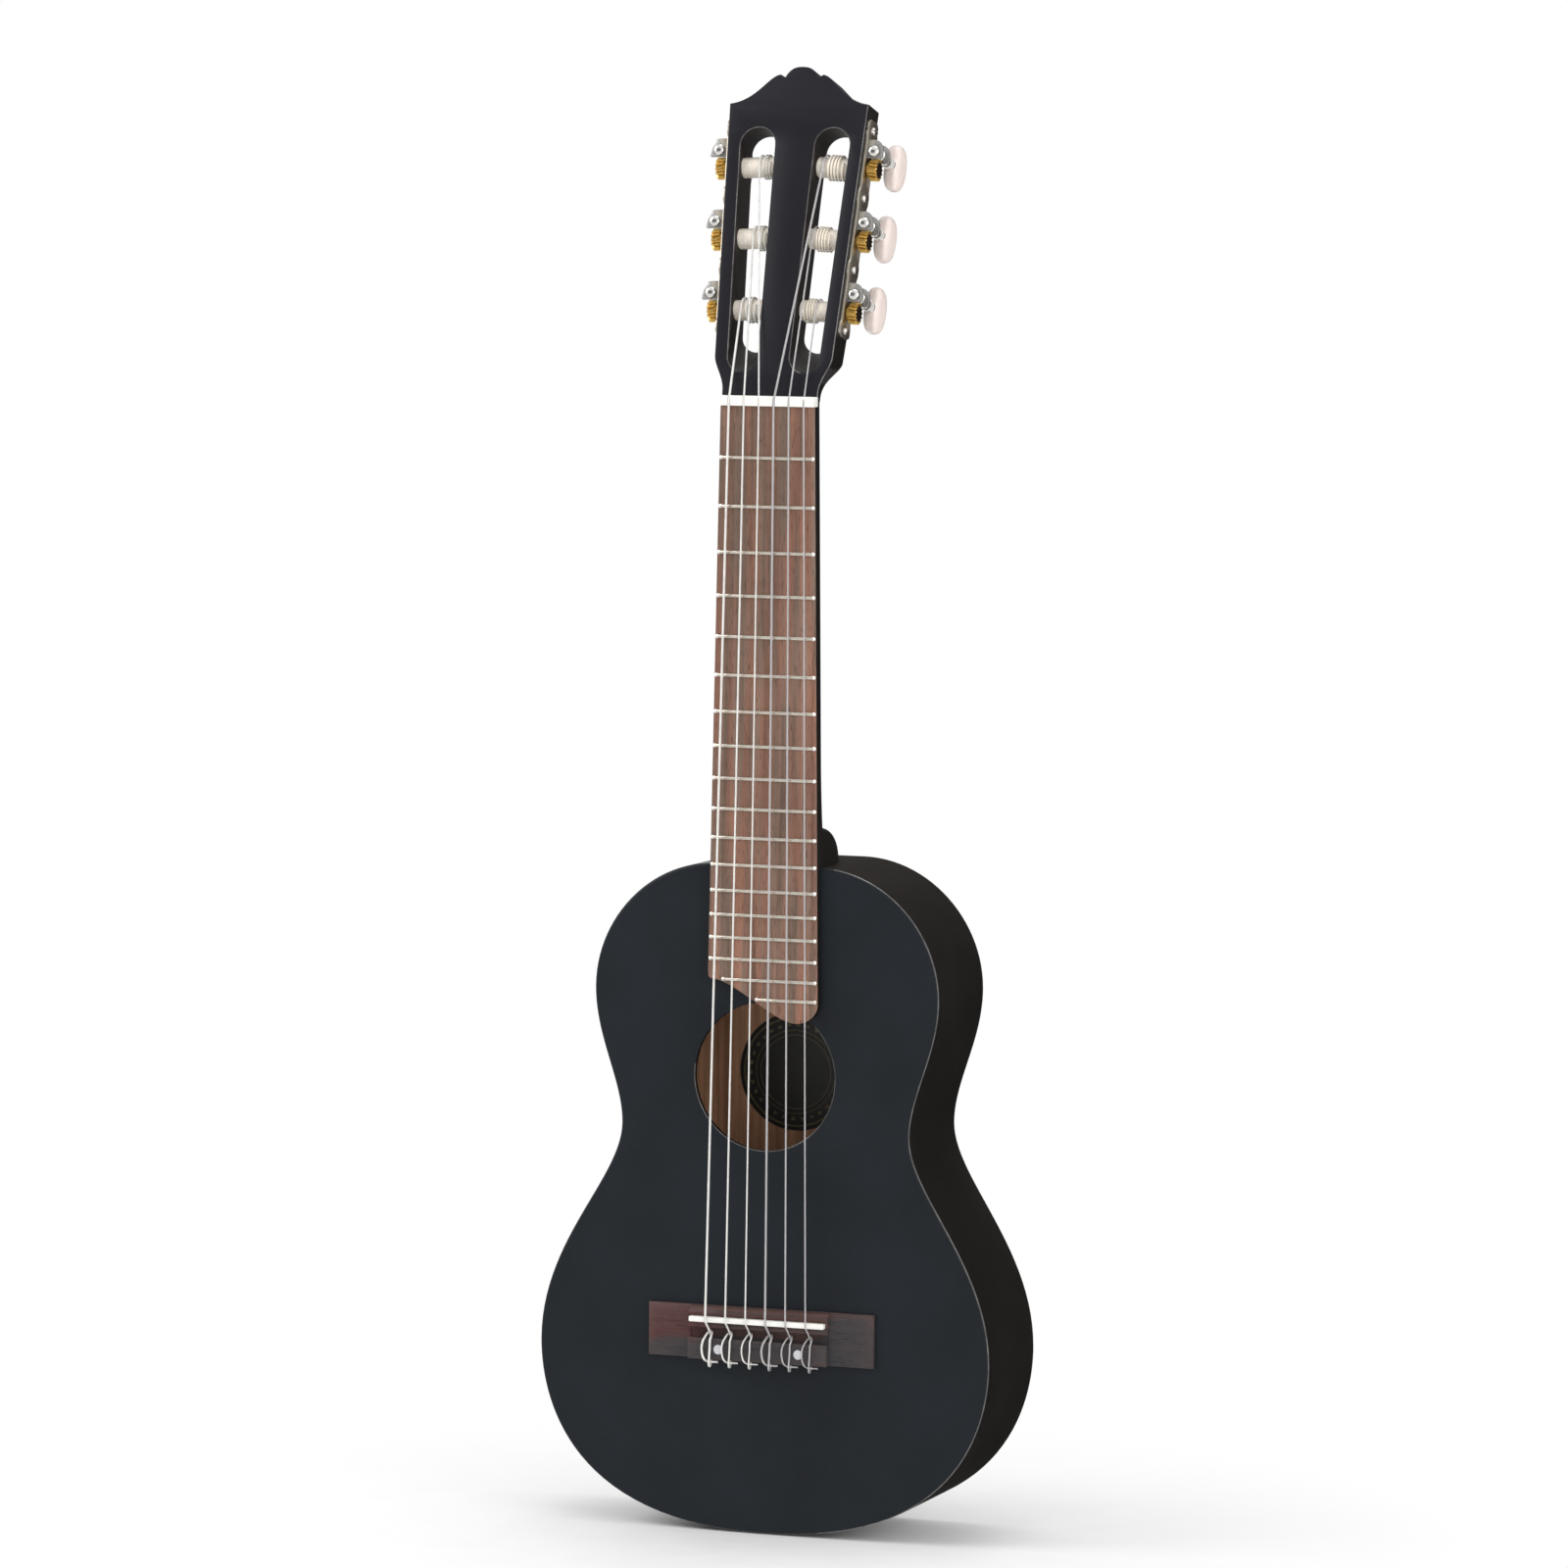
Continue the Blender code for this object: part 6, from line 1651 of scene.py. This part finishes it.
def floor_finish():
    """Pale floor that keeps the shadow near the guitar and fades to the white behind it."""
    made = Finish("pale_floor", (0.92, 0.92, 0.92), 0.6)
    distance = made.length(made.vector("SUBTRACT", made.place, (0, 0, BODY_BOTTOM)))
    made.wire(made.ramp(made.noise(40.0, 3.0), ((0.3, 0.90), (0.7, 0.94))))
    fade = made.add("ShaderNodeMapRange", {"Value": distance, "From Min": 0.03, "From Max": 0.34})
    path = made.add("ShaderNodeLightPath")
    seen = made.math("MULTIPLY", fade.outputs["Result"], path.outputs["Is Camera Ray"])
    glow = made.add("ShaderNodeEmission", {"Color": WHITE, "Strength": 1.0})
    blend = made.add("ShaderNodeMixShader", {0: seen, 1: made.shader.outputs["BSDF"],
                                             2: glow.outputs["Emission"]})
    made.tree.links.new(blend.outputs["Shader"],
                        made.tree.nodes["Material Output"].inputs["Surface"])
    return made.material


# Add-on

def color_setting(name, description, default):
    return FloatVectorProperty(name=name, description=description, subtype="COLOR", size=3,
                               min=0.0, max=1.0, default=default)


def power_setting(name, description, default):
    return FloatProperty(name=name, description=description, default=default, min=0.0)


class GuitaleleLook(bpy.types.PropertyGroup):
    black: color_setting("Black", "Colour of the black lacquer", (0.0086, 0.0114, 0.0150))
    satin: FloatProperty(
        name="Satin", description="Roughness of the lacquer on the face", default=0.44,
        min=0.05, max=1.0, subtype="FACTOR")
    rosewood: color_setting("Rosewood", "Middle tone of the fingerboard", (0.205, 0.125, 0.092))
    bridge_wood: color_setting("Bridge wood", "Middle tone of the bridge", (0.060, 0.038, 0.034))
    bone: color_setting("Bone", "Colour of nut and saddle", (0.93, 0.92, 0.87))
    nickel: color_setting("Nickel", "Colour of the plated parts", (0.52, 0.51, 0.49))
    brass: color_setting("Brass", "Colour of the gears", (0.60, 0.39, 0.11))
    roller: color_setting("Roller", "Colour of the string rollers", (0.88, 0.81, 0.70))
    button: color_setting("Button", "Colour of the tuner buttons", (0.92, 0.80, 0.745))
    floor_size: FloatProperty(
        name="Floor", description="Width of the floor", default=30.0, min=1.0, unit="LENGTH")
    room_light: power_setting("Room", "Strength of the light from all round", 0.6)
    key_power: power_setting("Key", "Power of the main lamp in watts", 42.0)
    fill_power: power_setting("Fill", "Power of the lamp on the treble side in watts", 30.0)
    top_power: power_setting("Top", "Power of the lamp above in watts", 16.0)


class BuildOperator(bpy.types.Operator):
    """Shared by the operators that make one group of pieces"""
    bl_idname = "guitalele.build"
    bl_label = "Build"
    bl_options = {"REGISTER", "UNDO"}
    make = None

    def execute(self, context):
        """Makes the group's pieces; a mistake stops the script."""
        type(self).make()
        return {"FINISHED"}


class MakeStage(BuildOperator):
    """Camera, floor and lamps"""
    bl_idname = "guitalele.stage"
    bl_label = "Stage"
    make = staticmethod(make_stage)


class MakeSoundboard(BuildOperator):
    """Soundboard with its rounded rim and sound hole"""
    bl_idname = "guitalele.soundboard"
    bl_label = "Soundboard"
    make = staticmethod(make_soundboard)


class MakeBackAndSides(BuildOperator):
    """Back and both bent sides"""
    bl_idname = "guitalele.back_and_sides"
    bl_label = "Back and sides"
    make = staticmethod(make_back_and_sides)


class MakeInside(BuildOperator):
    """Blocks, linings, braces and label inside the body"""
    bl_idname = "guitalele.inside"
    bl_label = "Inside"
    make = staticmethod(make_inside)


class MakeNeck(BuildOperator):
    """Neck, heel and slotted head"""
    bl_idname = "guitalele.neck"
    bl_label = "Neck"
    make = staticmethod(make_neck)


class MakeFingerboard(BuildOperator):
    """Fingerboard with its frets"""
    bl_idname = "guitalele.fingerboard"
    bl_label = "Fingerboard"
    make = staticmethod(make_fingerboard)


class MakeNut(BuildOperator):
    """Nut with its string grooves"""
    bl_idname = "guitalele.nut"
    bl_label = "Nut"
    make = staticmethod(make_nut)


class MakeBridge(BuildOperator):
    """Bridge, saddle and pearl dots"""
    bl_idname = "guitalele.bridge"
    bl_label = "Bridge"
    make = staticmethod(make_bridge)


class MakeStrings(BuildOperator):
    """Six strings, their ties and their turns on the rollers"""
    bl_idname = "guitalele.strings"
    bl_label = "Strings"
    make = staticmethod(make_strings)


class MakeRollers(BuildOperator):
    """Six string rollers"""
    bl_idname = "guitalele.rollers"
    bl_label = "Rollers"
    make = staticmethod(make_rollers)


class MakeGears(BuildOperator):
    """Six gear wheels and their screws"""
    bl_idname = "guitalele.gears"
    bl_label = "Gears"
    make = staticmethod(make_gears)


class MakeWorms(BuildOperator):
    """Six worms on their stems"""
    bl_idname = "guitalele.worms"
    bl_label = "Worms"
    make = staticmethod(make_worms)


class MakeButtons(BuildOperator):
    """Six tuner buttons"""
    bl_idname = "guitalele.buttons"
    bl_label = "Buttons"
    make = staticmethod(make_buttons)


class MakePlates(BuildOperator):
    """Both side plates with their bearing ears and screws"""
    bl_idname = "guitalele.plates"
    bl_label = "Tuner plates"
    make = staticmethod(make_plates)


OPERATORS = (MakeStage, MakeSoundboard, MakeBackAndSides, MakeInside, MakeNeck,
             MakeFingerboard, MakeNut, MakeBridge, MakeStrings, MakeRollers, MakeGears,
             MakeWorms, MakeButtons, MakePlates)


class GuitalelePanel(bpy.types.Panel):
    """Colours, lamps and one button for each group of pieces"""
    bl_idname = "VIEW3D_PT_guitalele"
    bl_label = "Guitalele"
    bl_space_type = "VIEW_3D"
    bl_region_type = "UI"
    bl_category = "Guitalele"

    def draw(self, context):
        look = context.scene.guitalele_look
        for name in GuitaleleLook.__annotations__:
            self.layout.prop(look, name)
        for operator in OPERATORS:
            self.layout.operator(operator.bl_idname)


CLASSES = (GuitaleleLook, *OPERATORS, GuitalelePanel)


def register():
    for item in CLASSES:
        bpy.utils.register_class(item)
    bpy.types.Scene.guitalele_look = PointerProperty(type=GuitaleleLook)


def unregister():
    del bpy.types.Scene.guitalele_look
    for item in reversed(CLASSES):
        bpy.utils.unregister_class(item)


def main():
    register()
    for operator in OPERATORS:
        group, name = operator.bl_idname.split(".")
        getattr(getattr(bpy.ops, group), name)()


if __name__ == "__main__":
    main()
